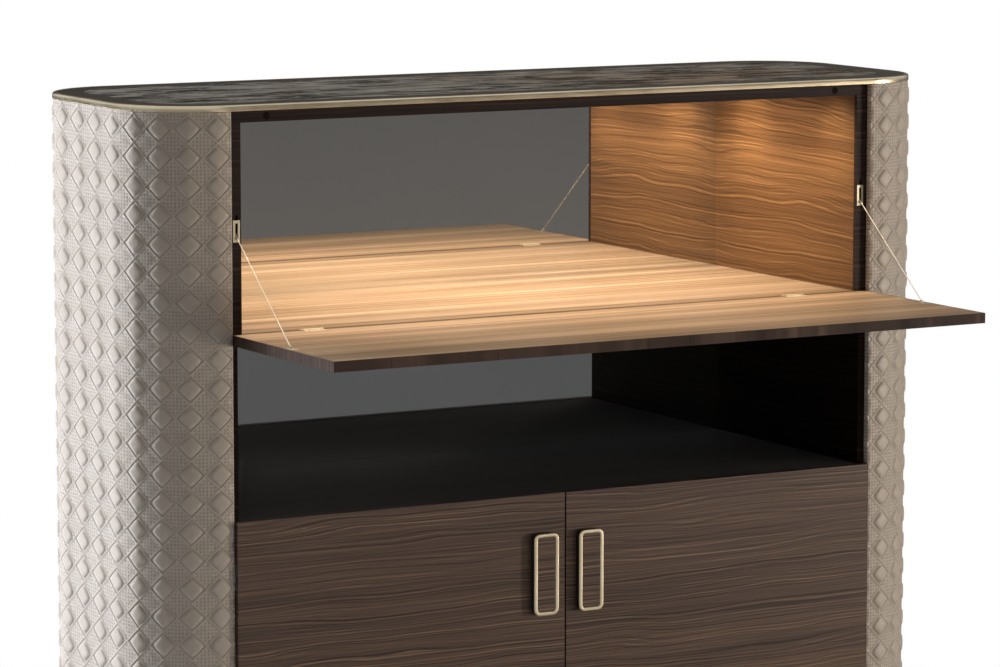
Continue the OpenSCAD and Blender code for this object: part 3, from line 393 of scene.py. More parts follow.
# %% Lacquer and plastics
def moulded(name, colour, roughness, grain=0.6, depth=0.03, fleck=0.08, coat=0.0, gloss=0.5):
    """Paint or plastic with a fine grain of that size in mm, and slight clouds of tone."""
    material, tree, surface = finish(name, roughness, Coat_Weight=coat, Coat_Roughness=0.2,
                                     Specular_IOR_Level=gloss)
    cloud = add(tree, "ShaderNodeTexNoise", {"Vector": object_mm(tree, (45, 45, 45)), "Scale": 1.0,
                                             "Detail": 3.0})
    dark = [c * (1 - fleck) for c in linear(colour)[:3]] + [1]
    pale = [min(1, c * (1 + fleck)) for c in linear(colour)[:3]] + [1]
    tone = add(tree, "ShaderNodeMix", {"Factor": cloud, "A": dark, "B": pale}, data_type="RGBA")
    tree.links.new(tone.outputs["Result"], surface.inputs["Base Color"])
    fine = add(tree, "ShaderNodeTexNoise", {"Vector": object_mm(tree, (grain,) * 3), "Scale": 1.0,
                                            "Detail": 2.0})
    rough = add(tree, "ShaderNodeMapRange", {"Value": fine, "To Min": roughness - 0.06,
                                             "To Max": roughness + 0.08})
    tree.links.new(rough.outputs[0], surface.inputs["Roughness"])
    bump = add(tree, "ShaderNodeBump", {"Height": fine, "Strength": 0.15, "Distance": depth * MM})
    tree.links.new(bump.outputs[0], surface.inputs["Normal"])
    return material


# Sprayed and matt, so that the plinth stays a shadow
plinth_lacquer = moulded("matt black lacquer", "#161514", 0.5)
# Etched moulds leave the feet and the retractors softly grained
foot_plastic = moulded("black foot plastic", "#1b1b1c", 0.55, grain=1.2)
retractor_plastic = moulded("black retractor plastic", "#191919", 0.48, grain=1.0)
# Dull and brown, so that the catches vanish into the dark rail
magnet_plastic = moulded("dark brown catch plastic", "#17110f", 0.8, gloss=0.06)
# A thin clear coat gives the handles' cores a faint second highlight
handle_lacquer = moulded("black handle lacquer", "#14100e", 0.42, coat=0.2)
cable_plastic = moulded("white cable plastic", "#e4e2dc", 0.4, grain=0.8, fleck=0.03)

# %% [markdown]
# ## Mirror, lamp glass and plywood
#
# The mirrors are silvered float glass: a metal of almost no roughness, with a faint unevenness so that long
# reflections aren't ruler straight. The lenses are frosted plastic with diodes behind, so they glow by
# themselves. The pods' inner shells are bent birch plywood, pale and long-grained.

# %% Mirror, lamp glass and plywood
def mirror_glass():
    """Clear silvered glass with the faintest unevenness."""
    material, tree, surface = finish("clear mirror", 0.015, Metallic=1.0)
    veil = add(tree, "ShaderNodeTexNoise", {"Vector": object_mm(tree, (160, 160, 160)), "Scale": 1.0})
    tint = add(tree, "ShaderNodeMix", {"Factor": veil, "A": linear("#eef1f0"), "B": linear("#f6f7f6")},
               data_type="RGBA")
    tree.links.new(tint.outputs["Result"], surface.inputs["Base Color"])
    rough = add(tree, "ShaderNodeMapRange", {"Value": veil, "To Min": 0.0, "To Max": 0.03})
    tree.links.new(rough.outputs[0], surface.inputs["Roughness"])
    return material


def lamp_glass():
    """Frosted plastic over the diodes, lit from behind, with a fine speckle of warmer and paler tone."""
    material, tree, surface = finish("frosted lamp lens", 0.35, Emission_Strength=6.0)
    speck = add(tree, "ShaderNodeTexNoise", {"Vector": object_mm(tree, (1.5, 1.5, 1.5)), "Scale": 1.0})
    glow = add(tree, "ShaderNodeMix", {"Factor": speck, "A": linear("#ffd9a0"), "B": linear("#fff0d2")},
               data_type="RGBA")
    tree.links.new(glow.outputs["Result"], surface.inputs["Emission Color"])
    tree.links.new(glow.outputs["Result"], surface.inputs["Base Color"])
    return material


def bent_plywood():
    """Birch plywood, whose fibres run up the bent shell."""
    material, tree, surface = finish("birch plywood", 0.6)
    fibre = add(tree, "ShaderNodeTexNoise", {"Vector": object_mm(tree, (6, 6, 90)), "Scale": 1.0,
                                             "Detail": 4.0})
    tone = add(tree, "ShaderNodeValToRGB", {"Fac": fibre}, stops=[(0.3, "#a88358"), (0.55, "#c5a275"),
                                                                 (0.75, "#d6b98d")])
    tree.links.new(tone.outputs["Color"], surface.inputs["Base Color"])
    bump = add(tree, "ShaderNodeBump", {"Height": fibre, "Strength": 0.2, "Distance": 0.2 * MM})
    tree.links.new(bump.outputs[0], surface.inputs["Normal"])
    return material


mirror = mirror_glass()
lens_glass = lamp_glass()
plywood = bent_plywood()

# %% [markdown]
# ## The marble
#
# The top is a nearly black marble, sawn and honed, crossed along its length by broken white and beige veins,
# with clouds of rust. Stone can't be drawn vein by vein, but two warped noises make it: a vein is where a
# noise passes through its middle value, and a second noise breaks it up.

# %% Marble
# Long veins, short crossing ones and clouds of rust: (scale, half width, strength, colour, place in the
# noise, whether it comes with the rust)
VEINS = ((1.1, 0.02, 1.0, "#fbf8f0", 0, False), (2.7, 0.02, 0.8, "#eae7e0", 40, False),
         (1.6, 0.05, 0.75, "#a97d55", 90, True))
STONE = [(0.385, "#262625"), (0.44, "#5f5f5a"), (0.49, "#a19d91"), (0.535, "#d0cbbd"), (0.59, "#efeadc"),
         (0.68, "#fffaee")]
RUST, CREAM = "#ffd29a", "#e6d9c4"


def dark_marble():
    """The stone, whose veins run along X. The rust grows towards its right end."""
    material, tree, surface = finish("dark marble", 0.2, Specular_IOR_Level=0.25)
    flow = object_mm(tree, (250, 58, 58))
    warp = add(tree, "ShaderNodeTexNoise", {"Vector": flow, "Scale": 0.9, "Detail": 5.0, "Roughness": 0.55})
    bend = add(tree, "ShaderNodeVectorMath", {0: warp.outputs["Color"], 1: (1.1, 1.1, 1.1)},
               operation="MULTIPLY")
    bent = add(tree, "ShaderNodeVectorMath", {0: flow, 1: bend}, operation="ADD")
    ground = add(tree, "ShaderNodeTexNoise", {"Vector": bent, "Scale": 2.2, "Detail": 9.0, "Roughness": 0.6})
    colour = add(tree, "ShaderNodeValToRGB", {"Fac": ground}, stops=STONE)
    parts = add(tree, "ShaderNodeSeparateXYZ", {"Vector": object_mm(tree)})
    rusty = add(tree, "ShaderNodeMapRange", {"Value": parts.outputs["X"], "From Min": -250, "From Max": 350,
                                             "To Min": 0.15, "To Max": 1.0})
    stain = add(tree, "ShaderNodeTexNoise", {"Vector": bent, "Scale": 0.9, "Detail": 3.0})
    stain = add(tree, "ShaderNodeMapRange", {"Value": stain, "From Min": 0.4, "From Max": 0.62,
                                             "To Max": 0.62})
    stained = add(tree, "ShaderNodeMath", {0: stain, 1: rusty}, operation="MULTIPLY")
    rust = add(tree, "ShaderNodeMix", {"Factor": 1.0, "A": colour, "B": linear(RUST)}, data_type="RGBA",
               blend_type="MULTIPLY")
    current = add(tree, "ShaderNodeMix", {"Factor": stained, "A": colour, "B": rust.outputs["Result"]},
                  data_type="RGBA").outputs["Result"]
    for scale, width, strength, tone, place, with_rust in VEINS:
        moved = add(tree, "ShaderNodeVectorMath", {0: bent, 1: (place, place, place)}, operation="ADD")
        field = add(tree, "ShaderNodeTexNoise", {"Vector": moved, "Scale": scale, "Detail": 4.0,
                                                 "Roughness": 0.55})
        vein = line_at(tree, field, 0.5, 0.0, width, strength)
        breaks = add(tree, "ShaderNodeTexNoise", {"Vector": moved, "Scale": 3.1, "Detail": 2.0})
        gate = add(tree, "ShaderNodeMapRange", {"Value": breaks, "From Min": 0.4, "From Max": 0.5})
        share = add(tree, "ShaderNodeMath", {0: vein, 1: gate}, operation="MULTIPLY")
        if with_rust:
            share = add(tree, "ShaderNodeMath", {0: share, 1: rusty}, operation="MULTIPLY")
        current = add(tree, "ShaderNodeMix", {"Factor": share, "A": current, "B": linear(tone)},
                      data_type="RGBA").outputs["Result"]
    # Cream flecks, a few centimetres long
    fleck = add(tree, "ShaderNodeTexNoise", {"Vector": object_mm(tree, (34, 9, 9)), "Scale": 1.0,
                                             "Detail": 2.0})
    spots = add(tree, "ShaderNodeMapRange", {"Value": fleck, "From Min": 0.66, "From Max": 0.72,
                                             "To Max": 0.8})
    current = add(tree, "ShaderNodeMix", {"Factor": spots, "A": current, "B": linear(CREAM)},
                  data_type="RGBA").outputs["Result"]
    tree.links.new(current, surface.inputs["Base Color"])
    rough = add(tree, "ShaderNodeMapRange", {"Value": ground, "To Min": 0.16, "To Max": 0.28})
    tree.links.new(rough.outputs[0], surface.inputs["Roughness"])
    bump = add(tree, "ShaderNodeBump", {"Height": ground, "Strength": 0.05, "Distance": 0.1 * MM})
    tree.links.new(bump.outputs[0], surface.inputs["Normal"])
    return material


marble = dark_marble()
print("marble nodes:", len(marble.node_tree.nodes))

# %% [markdown]
# ## The embossed leather
#
# The cover is a faux leather, heat-embossed and soft to the light, with a fine grain. Between the raised
# diamonds it is pricked all over with small pits some 6 mm apart, and a dotted line runs between the columns
# and between the rows. Such small pits would need millions of faces, so they are relief in the material. They
# have to follow the diamonds round the corner, so they aren't placed by Object coordinates but by two
# attributes of the mesh: `cell` counts columns and rows, and `skin` is the place on the flat cover in mm.

# %% Leather
# Reach is the distance from a cell's middle, |x| + |y|: the ridge round a diamond is at 0.5. The creases are
# (its reach, half width, darkening), darkened partly by the pressed leather's tone, partly as painted shade.
PITS_PER_CELL = 8
PIT_RELIEF, SEAM_RELIEF = -1.3, 0.4
RIDGE_REACH = 0.5
PRICKED_FROM, PRICKED_FULL = 0.51, 0.53
CREASE_TONE_AND_SHADE = ((0.44, 0.035, 0.3), (0.527, 0.02, 0.2))
# The hide's two tones, then a painted highlight for the ridges and a painted shade for the pits and creases
HIDE_DARK, HIDE_PALE, RIDGE_HIGHLIGHT, SHADE_IN_PITS_AND_CREASES = "#9c9286", "#a99f93", "#cfc6ba", "#4d453c"
# Sizes in mm of the grain and of the clouds of tone. Real grain is finer, and is drawn so that it shows.
PEBBLE, CLOUD = 1.1, 60


def embossing(tree):
    """The reach of each point in its cell, how deep it lies in a pit, and the relief of pits and seams."""
    cell = add(tree, "ShaderNodeAttribute", attribute_name="cell")
    parts = add(tree, "ShaderNodeSeparateXYZ", {"Vector": cell.outputs["Vector"]})
    sides, waves = [], []
    for axis in ("X", "Y"):
        share = add(tree, "ShaderNodeMath", {0: parts.outputs[axis]}, operation="FRACT")
        middle = add(tree, "ShaderNodeMath", {0: share, 1: 0.5}, operation="SUBTRACT")
        sides.append(add(tree, "ShaderNodeMath", {0: middle}, operation="ABSOLUTE"))
        angle = add(tree, "ShaderNodeMath", {0: parts.outputs[axis], 1: 2 * math.pi * PITS_PER_CELL},
                    operation="MULTIPLY")
        wave = add(tree, "ShaderNodeMath", {0: angle}, operation="COSINE")
        waves.append(add(tree, "ShaderNodeMapRange", {"Value": wave, "From Min": 1.0, "From Max": -1.0}))
    reach = add(tree, "ShaderNodeMath", {0: sides[0], 1: sides[1]}, operation="ADD")
    field = add(tree, "ShaderNodeMapRange", {"Value": reach, "From Min": PRICKED_FROM,
                                             "From Max": PRICKED_FULL})
    dots = add(tree, "ShaderNodeMath", {0: waves[0], 1: waves[1]}, operation="MULTIPLY")
    dots = add(tree, "ShaderNodeMapRange", {"Value": dots, "From Min": 0.35, "From Max": 0.85},
               interpolation_type="SMOOTHSTEP")
    pits = add(tree, "ShaderNodeMath", {0: dots, 1: field}, operation="MULTIPLY")
    relief = add(tree, "ShaderNodeMath", {0: pits, 1: PIT_RELIEF}, operation="MULTIPLY")
    # The dotted lines run along the cell's two sides
    for side, wave in ((sides[0], waves[1]), (sides[1], waves[0])):
        line = add(tree, "ShaderNodeMapRange", {"Value": side, "From Min": 0.475, "From Max": 0.495,
                                                "To Max": SEAM_RELIEF})
        dotted = add(tree, "ShaderNodeMapRange", {"Value": wave, "From Min": 0.9, "From Max": 0.3})
        seam = add(tree, "ShaderNodeMath", {0: line, 1: dotted}, operation="MULTIPLY")
        relief = add(tree, "ShaderNodeMath", {0: relief, 1: seam}, operation="ADD")
    return reach, pits, relief


def embossed_leather():
    """The finish of the quilted covers, whose mesh has the attributes cell and skin."""
    material, tree, surface = finish("embossed faux leather", 0.45, Sheen_Weight=0.1, Sheen_Roughness=0.5,
                                     Specular_IOR_Level=0.6)
    reach, pits, pattern = embossing(tree)
    skin = add(tree, "ShaderNodeAttribute", attribute_name="skin")
    pebble = add(tree, "ShaderNodeTexVoronoi", {"Vector": skin.outputs["Vector"], "Scale": 1 / PEBBLE,
                                                "Randomness": 1.0})
    cloud = add(tree, "ShaderNodeTexNoise", {"Vector": skin.outputs["Vector"], "Scale": 1 / CLOUD,
                                             "Detail": 3.0})
    tone = add(tree, "ShaderNodeMix", {"Factor": cloud, "A": linear(HIDE_DARK), "B": linear(HIDE_PALE)},
               data_type="RGBA")
    # Painted shade darkens the pits
    shade = add(tree, "ShaderNodeMath", {0: pits, 1: 0.46}, operation="MULTIPLY")
    # Darker creases, partly pressed tone and partly painted shade, and a painted highlight on the ridges
    for place, half, share in CREASE_TONE_AND_SHADE:
        crease_tone_and_shade = line_at(tree, reach, place, half / 2, half, share)
        shade = add(tree, "ShaderNodeMath", {0: shade, 1: crease_tone_and_shade}, operation="MAXIMUM")
    # A painted highlight along the ridges
    ridge_highlight = line_at(tree, reach, RIDGE_REACH, 0.006, 0.016, 0.35)
    tone = add(tree, "ShaderNodeMix", {"Factor": ridge_highlight, "A": tone.outputs["Result"],
                                       "B": linear(RIDGE_HIGHLIGHT)}, data_type="RGBA")
    colour = add(tree, "ShaderNodeMix", {"Factor": shade, "A": tone.outputs["Result"],
                                         "B": linear(SHADE_IN_PITS_AND_CREASES)}, data_type="RGBA")
    tree.links.new(colour.outputs["Result"], surface.inputs["Base Color"])
    rough = add(tree, "ShaderNodeMapRange", {"Value": pebble, "To Min": 0.42, "To Max": 0.6})
    tree.links.new(rough.outputs[0], surface.inputs["Roughness"])
    grain = add(tree, "ShaderNodeBump", {"Height": pebble, "Strength": 0.25, "Distance": 0.12 * MM})
    relief = add(tree, "ShaderNodeBump", {"Height": pattern, "Strength": 1.0, "Distance": 0.5 * MM,
                                          "Normal": grain})
    tree.links.new(relief.outputs[0], surface.inputs["Normal"])
    return material


leather = embossed_leather()
print("leather nodes:", len(leather.node_tree.nodes))

# %% [markdown]
# ## Finishes on the CAD solids
#
# The boards, the stone, the glass and the hidden fittings already have their true shape as solids. They could
# be modelled again, but that would only risk a gap, so they stay where they are and get their finish.

# %% Paint the solids
FINISHES = {
    plinth_lacquer: ["plinth"],
    foot_plastic: ["levelling_feet"],
    walnut_sides_shaded: ["side_left", "side_right", "centre_partition", "shelf_left", "shelf_right"],
    walnut_edges: ["bottom_panel", "top_board", "bar_floor", "back_panel"],
    walnut_front: ["flap_panel"],
    walnut_posts: ["edge_post_left", "edge_post_right"],
    walnut_black_painted_light: ["niche_floor"],
    walnut_floor: ["bar_floor_lining"],
    walnut_flap: ["flap_lining"],
    walnut_liner: ["bar_liner_left", "bar_liner_right"],
    walnut_door_left: ["door_left"],
    walnut_door_right: ["door_right"],
    walnut_handle: ["handle_inlay_left", "handle_inlay_right"],
    handle_lacquer: ["handle_body_left", "handle_body_right"],
    marble: ["marble_top"],
    mirror: ["niche_mirror", "bar_mirror"],
    plywood: ["pod_core_left", "pod_core_right"],
    fitting_gold: ["stay_keeper_left", "stay_keeper_right", "stay_guide_tubes",
                   "flap_hinge_pins", "stay_bracket_left", "stay_bracket_right"],
    hinge_gold: ["flap_hinge_floor_leaves", "flap_hinge_flap_leaves"],
    magnet_plastic: ["flap_catches"],
    steel: ["shelf_pins", "flap_strikes", "door_hinge_side_leaves", "door_hinge_leaves_left",
            "door_hinge_leaves_right", "door_hinge_pins_left", "door_hinge_pins_right"],
    retractor_plastic: ["stay_retractor_left", "stay_retractor_right"],
    cable_plastic: ["led_driver", "led_lead"],
}
for material, nodes in FINISHES.items():
    for node in nodes:
        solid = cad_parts[node]
        for slot in solid.material_slots:
            slot.material = material
print("painted", sum(len(v) for v in FINISHES.values()), "of", len(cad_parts), "solids")

# %% [markdown]
# ## The quilted covers
#
# Each rounded end is a bent plywood shell under foam and leather, heat-embossed with rows of diamonds: a
# cushioned diamond, a groove round it, and a sharp ridge that it shares with its neighbours. A cloth
# simulation could puff the diamonds up, but the press gives each of them the same form, and that is a rule.
# So one cell of the pattern is laid out flat on rings of equal reach from its middle. Geometry Nodes then
# repeats it in columns and rows, wraps the sheet round the plan of the pod and raises it by the profile.

# %% Sizes of the covers, from the frame
pod_low, pod_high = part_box("upholstery_right")
rim_low, rim_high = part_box("top_rim")
carcase_x = pod_low.x / MM
corner_radius = 140.0
SKIN_INSET = 2.0
skin_radius = corner_radius - SKIN_INSET
corner_x = rim_high.x / MM - corner_radius
corner_y = rim_high.y / MM - corner_radius
cover_bottom, cover_top = pod_low.z / MM, pod_high.z / MM
# The pattern's rows and columns in mm, the columns being wider on the pod's flat side than on its front. They
# change at that many degrees round the corner. The first whole row starts a little below the cover's top.
ROW_H = 46.0
FRONT_W, SIDE_W, FRONT_TURN = 47.2, 67.7, 74.0
TOP_BAND = 3.0
print("cover from z", round(cover_bottom), "to", round(cover_top), "mm, carcase at", round(carcase_x), "mm")

# %% [markdown]
# ### One cell of the pattern
#
# A grid of squares could be raised into a diamond too, but its edges would cross the ridges and leave them
# jagged. Here every ring of points has one reach, and so one height, and the ridges come out sharp.

# %% One cell of the pattern
# (reach, height in mm): the cushion, the groove round it, the ridge at 0.5 and the pricked field in the
# corners
PROFILE = [(0.0, 3.5), (0.12, 3.46), (0.2, 3.3), (0.27, 2.95), (0.32, 2.4), (0.355, 1.6), (0.382, 0.7),
           (0.4, 0.1), (0.448, 0.0), (0.468, 0.25), (0.484, 0.8), (0.5, 1.25),
           (0.516, 0.8), (0.532, 0.4), (0.7, 0.5), (1.0, 0.5)]
# The points of one side of a ring, as shares of it, and the turns in degrees of those round a cushion's
# corner
SIDES = (0, 0.07, 0.2, 0.8, 0.93)
BEND_TURNS = (0, 22.5, 45, 45, 67.5)
# The cushion ends at this reach, where its corners' radius and the reach of its straight sides are these
CUSHION, CUSHION_BEND, CUSHION_SIDE = 0.4, 0.16, 0.42


def ring_point(reach, number, t):
    """Place of one point in a ring's first quarter. t is its share of the side."""
    grown = reach / CUSHION
    if grown <= 1:
        # The cushioned diamond has round corners
        bend = grown * CUSHION_BEND
        core = grown * CUSHION_SIDE - bend * math.sqrt(2)
        turn = math.radians(BEND_TURNS[number])
        x, y = bend * math.cos(turn), bend * math.sin(turn)
        return (x + core, y) if number < 3 else (x, y + core)
    if reach <= RIDGE_REACH:
        return reach * (1 - t), reach * t
    return RIDGE_REACH - t * (1 - reach), (reach - RIDGE_REACH) + t * (1 - reach)


def pattern_cell():
    """One diamond on rings of equal reach. Rings up to the ridge are closed, and those beyond it lie in the
    cell's corners."""
    points, faces, rings = [(0, 0, 0)], [], []
    per_side = len(SIDES)
    reaches = [0.0]
    for reach, _ in PROFILE[1:]:
        ring = []
        for quarter in range(4):
            for number, t in enumerate(SIDES if reach <= RIDGE_REACH else SIDES + (1,)):
                x, y = ring_point(reach, number, t)
                for _ in range(quarter):
                    x, y = -y, x
                ring.append(len(points))
                points.append((x, y, 0))
                reaches.append(reach)
        rings.append((reach, ring))
    count = 4 * per_side
    first = rings[0][1]
    for i in range(count):
        faces.append((0, first[i], first[(i + 1) % count]))
    for (_, inner), (reach, outer) in zip(rings, rings[1:]):
        if reach <= RIDGE_REACH:
            for i in range(count):
                j = (i + 1) % count
                faces.append((inner[i], outer[i], outer[j], inner[j]))
        else:
            opened = len(inner) == len(outer)
            for quarter in range(4):
                for step in range(per_side):
                    a = quarter * (per_side + 1) + step
                    b = a if opened else quarter * per_side + step
                    c = b + 1 if opened else (b + 1) % count
                    faces.append((inner[b], outer[a], outer[a + 1], inner[c]))
    mesh = bpy.data.meshes.new("pattern cell")
    mesh.from_pydata(points, [], faces)
    mesh.attributes.new("reach", "FLOAT", "POINT").data.foreach_set("value", reaches)
    tidy = bmesh.new()
    tidy.from_mesh(mesh)
    bmesh.ops.remove_doubles(tidy, verts=tidy.verts, dist=1e-5)
    tidy.to_mesh(mesh)
    tidy.free()
    return mesh


cell_mesh = pattern_cell()
print("one cell has", len(cell_mesh.polygons), "faces")

# %% [markdown]
# ### The pod's plan
#
# The sheet of cells needs a path to be wrapped round. The pod's outline in plan is a straight front, a
# quarter circle, the flat side and the same again, so it is drawn as a curve that Geometry Nodes can sample.
# It runs on past the carcase at both ends, and the spare leather is trimmed off, as an upholsterer does.

# %% The pod's plan, as a curve
RUN_OUT = 70.0
ARC_STEPS = 60


def drawn_line(name, line, closed=True):
    """An object with a curve through (x, y) points in mm."""
    data = bpy.data.curves.new(name, "CURVE")
    data.dimensions = "3D"
    spline = data.splines.new("POLY")
    spline.points.add(len(line) - 1)
    for point, (x, y) in zip(spline.points, line):
        point.co = (x * MM, y * MM, 0, 1)
    spline.use_cyclic_u = closed
    obj = bpy.data.objects.new(name, data)
    bpy.context.scene.collection.objects.link(obj)
    return obj


def pod_plan():
    """The cover's line in plan, in mm, from the carcase's front edge round the right end to its back edge. It
    runs on past both edges, where the sheet is cut off."""
    line = [(carcase_x - RUN_OUT, -(corner_y + skin_radius))]
    for i in range(ARC_STEPS + 1):
        t = math.radians(90 * i / ARC_STEPS)
        line.append((corner_x + skin_radius * math.sin(t), -(corner_y + skin_radius * math.cos(t))))
    return line + [(x, -y) for x, y in reversed(line)]


plan = pod_plan()
plan_line = drawn_line("pod plan", plan, closed=False)
plan_length = sum(math.dist(a, b) for a, b in zip(plan, plan[1:]))

# The columns stand closer on the front and round the corner than on the flat side
straight = max(corner_x - carcase_x, 0)
face_length = plan_length - 2 * RUN_OUT
narrow = straight + skin_radius * math.radians(FRONT_TURN)
half_columns = narrow / FRONT_W + (face_length / 2 - narrow) / SIDE_W
columns = 2 * round(half_columns) + 2
rows = math.ceil((cover_top - cover_bottom) / ROW_H) + 2


def column_places(shift):
    """(share of the columns, share of the line) pairs. The first and the last column lie past the edges."""
    bend = narrow / FRONT_W + 1
    ends = [(0, -FRONT_W), (bend, narrow), (columns - bend, face_length - narrow),
            (columns, face_length + FRONT_W)]
    return [(c / columns, (RUN_OUT + shift + s) / plan_length) for c, s in ends]


print("columns", columns, "rows", rows, "length", round(face_length, 1), "mm")

# %% [markdown]
# ### Wrap the cells round the pod
#
# The tree counts each point's column and row, keeps the count as the attribute `cell` for the leather, and
# finds the place on the plan where that column lies. The point moves there, up to its row, and outwards by
# the height that the profile has at its reach.

# %% Wrap the cells round the pod
# A float curve runs from 0 to 1, so the profile's heights are shares of this many mm
CURVE_FULL = 4
EDGE_MERGE = 0.0004


def quilt_tree(shift):
    """The cover's tree. shift moves its columns that many mm along the plan."""
    tree, given, result = node_tree("quilted cover", ("Plan", "NodeSocketObject"),
                                    ("Columns", "NodeSocketInt"), ("Rows", "NodeSocketInt"),
                                    ("Top", "NodeSocketFloat"), ("Row height", "NodeSocketFloat"),
                                    ("Length", "NodeSocketFloat"), ("Leather", "NodeSocketMaterial"))
    one_less = [add(tree, "ShaderNodeMath", {0: given.outputs[n], 1: 1.0}, operation="SUBTRACT")
                for n in ("Columns", "Rows")]
    grid = add(tree, "GeometryNodeMeshGrid", {"Size X": one_less[0], "Size Y": one_less[1],
                                              "Vertices X": given.outputs["Columns"],
                                              "Vertices Y": given.outputs["Rows"]})
    cells = add(tree, "GeometryNodeInstanceOnPoints", {"Points": grid.outputs["Mesh"],
                                                       "Instance": given.outputs["Geometry"]})
    real = add(tree, "GeometryNodeRealizeInstances", {"Geometry": cells})
    merged = add(tree, "GeometryNodeMergeByDistance", {"Geometry": real, "Distance": EDGE_MERGE})
    # Count the columns and rows from 0 at the first edge and the top
    halves = [add(tree, "ShaderNodeMath", {0: given.outputs[n], 1: 0.5}, operation="MULTIPLY")
              for n in ("Columns", "Rows")]
    middle = add(tree, "ShaderNodeCombineXYZ", {"X": halves[0], "Y": halves[1]})
    place = add(tree, "GeometryNodeInputPosition")
    counted = add(tree, "ShaderNodeVectorMath", {0: place, 1: middle}, operation="ADD")
    kept = add(tree, "GeometryNodeStoreNamedAttribute", {"Geometry": merged, "Name": "cell",
                                                         "Value": counted},
               data_type="FLOAT_VECTOR", domain="POINT")
    read = add(tree, "GeometryNodeInputNamedAttribute", {"Name": "cell"}, data_type="FLOAT_VECTOR")
    axes = add(tree, "ShaderNodeSeparateXYZ", {"Vector": read})
    # The height of the profile at each ring's reach, and the place on the plan of each column
    reach = add(tree, "GeometryNodeInputNamedAttribute", {"Name": "reach"}, data_type="FLOAT")
    profile = add(tree, "ShaderNodeFloatCurve", {"Value": reach})
    column = add(tree, "ShaderNodeMath", {0: axes.outputs["X"], 1: given.outputs["Columns"]},
                 operation="DIVIDE")
    columns_curve = add(tree, "ShaderNodeFloatCurve", {"Value": column})
    for node, pairs in ((profile, [(r, h / CURVE_FULL) for r, h in PROFILE]),
                        (columns_curve, column_places(shift))):
        curve = node.mapping.curves[0]
        while len(curve.points) < len(pairs):
            curve.points.new(0.5, 0.5)
        for point, (x, y) in zip(curve.points, pairs):
            point.location = (x, y)
            point.handle_type = "VECTOR"
        node.mapping.update()
    along = add(tree, "ShaderNodeMath", {0: columns_curve, 1: given.outputs["Length"]}, operation="MULTIPLY")
    line = add(tree, "GeometryNodeObjectInfo", {"Object": given.outputs["Plan"]})
    sample = add(tree, "GeometryNodeSampleCurve", {"Curves": line.outputs["Geometry"], "Length": along},
                 mode="LENGTH", use_all_curves=True)
    out = add(tree, "ShaderNodeVectorMath", {0: sample.outputs["Tangent"], 1: (0, 0, 1)},
              operation="CROSS_PRODUCT")
    raise_by = add(tree, "ShaderNodeMath", {0: profile, 1: CURVE_FULL * MM}, operation="MULTIPLY")
    raised = add(tree, "ShaderNodeVectorMath", {0: out, "Scale": raise_by}, operation="SCALE")
    drop = add(tree, "ShaderNodeMath", {0: axes.outputs["Y"], 1: given.outputs["Row height"]},
               operation="MULTIPLY")
    height = add(tree, "ShaderNodeMath", {0: given.outputs["Top"], 1: drop}, operation="SUBTRACT")
    wrapped = add(tree, "ShaderNodeVectorMath", {0: sample.outputs["Position"], 1: raised}, operation="ADD")
    up = add(tree, "ShaderNodeCombineXYZ", {"Z": height})
    lifted = add(tree, "ShaderNodeVectorMath", {0: wrapped, 1: up}, operation="ADD")
    moved = add(tree, "GeometryNodeSetPosition", {"Geometry": kept, "Position": lifted})
    # The place on the flat cover, in mm
    flat = add(tree, "ShaderNodeCombineXYZ", {"X": along, "Y": height})
    flat = add(tree, "ShaderNodeVectorMath", {0: flat, "Scale": 1 / MM}, operation="SCALE")
    marked = add(tree, "GeometryNodeStoreNamedAttribute", {"Geometry": moved, "Name": "skin", "Value": flat},
                 data_type="FLOAT_VECTOR", domain="POINT")
    painted = add(tree, "GeometryNodeSetMaterial", {"Geometry": marked, "Material": given.outputs["Leather"]})
    tree.links.new(painted.outputs[0], result.inputs["Geometry"])
    return tree


# How far the sheet is trimmed inside its neighbours, and how far its cut edges are turned in, in mm
TRIM = 0.1
TURNED_AT_SIDE, TURNED_AT_ENDS = 25.0, 5.0
TINY = 1e-6


def trim(sheet):
    """Cuts the sheet off under the top rim, on the base rim and beside the carcase."""
    for place, off in (((0, 0, cover_top - TRIM), (0, 0, 1)), ((0, 0, cover_bottom + TRIM), (0, 0, -1)),
                       ((carcase_x + TRIM, 0, 0), (-1, 0, 0))):
        bmesh.ops.bisect_plane(sheet, geom=sheet.verts[:] + sheet.edges[:] + sheet.faces[:], dist=TINY,
                               plane_co=Vector(place) * MM, plane_no=off, clear_outer=True)


def turn_in(sheet):
    """Turns the sheet in along its cut edges, towards the middle of the pod."""
    at_side = (carcase_x + 2 * TRIM) * MM
    sides = [e for e in sheet.edges if e.is_boundary and all(v.co.x < at_side for v in e.verts)]
    ends = [e for e in sheet.edges if e.is_boundary and e not in set(sides)]
    for edges, inward in ((sides, TURNED_AT_SIDE), (ends, TURNED_AT_ENDS)):
        turned = bmesh.ops.extrude_edge_only(sheet, edges=edges)["geom"]
        for vert in [g for g in turned if isinstance(g, bmesh.types.BMVert)]:
            core_y = max(-corner_y * MM, min(corner_y * MM, vert.co.y))
            away = Vector((vert.co.x, vert.co.y, 0)) - Vector((min(vert.co.x, corner_x * MM), core_y, 0))
            if away.length > 0:
                vert.co -= away.normalized() * inward * MM


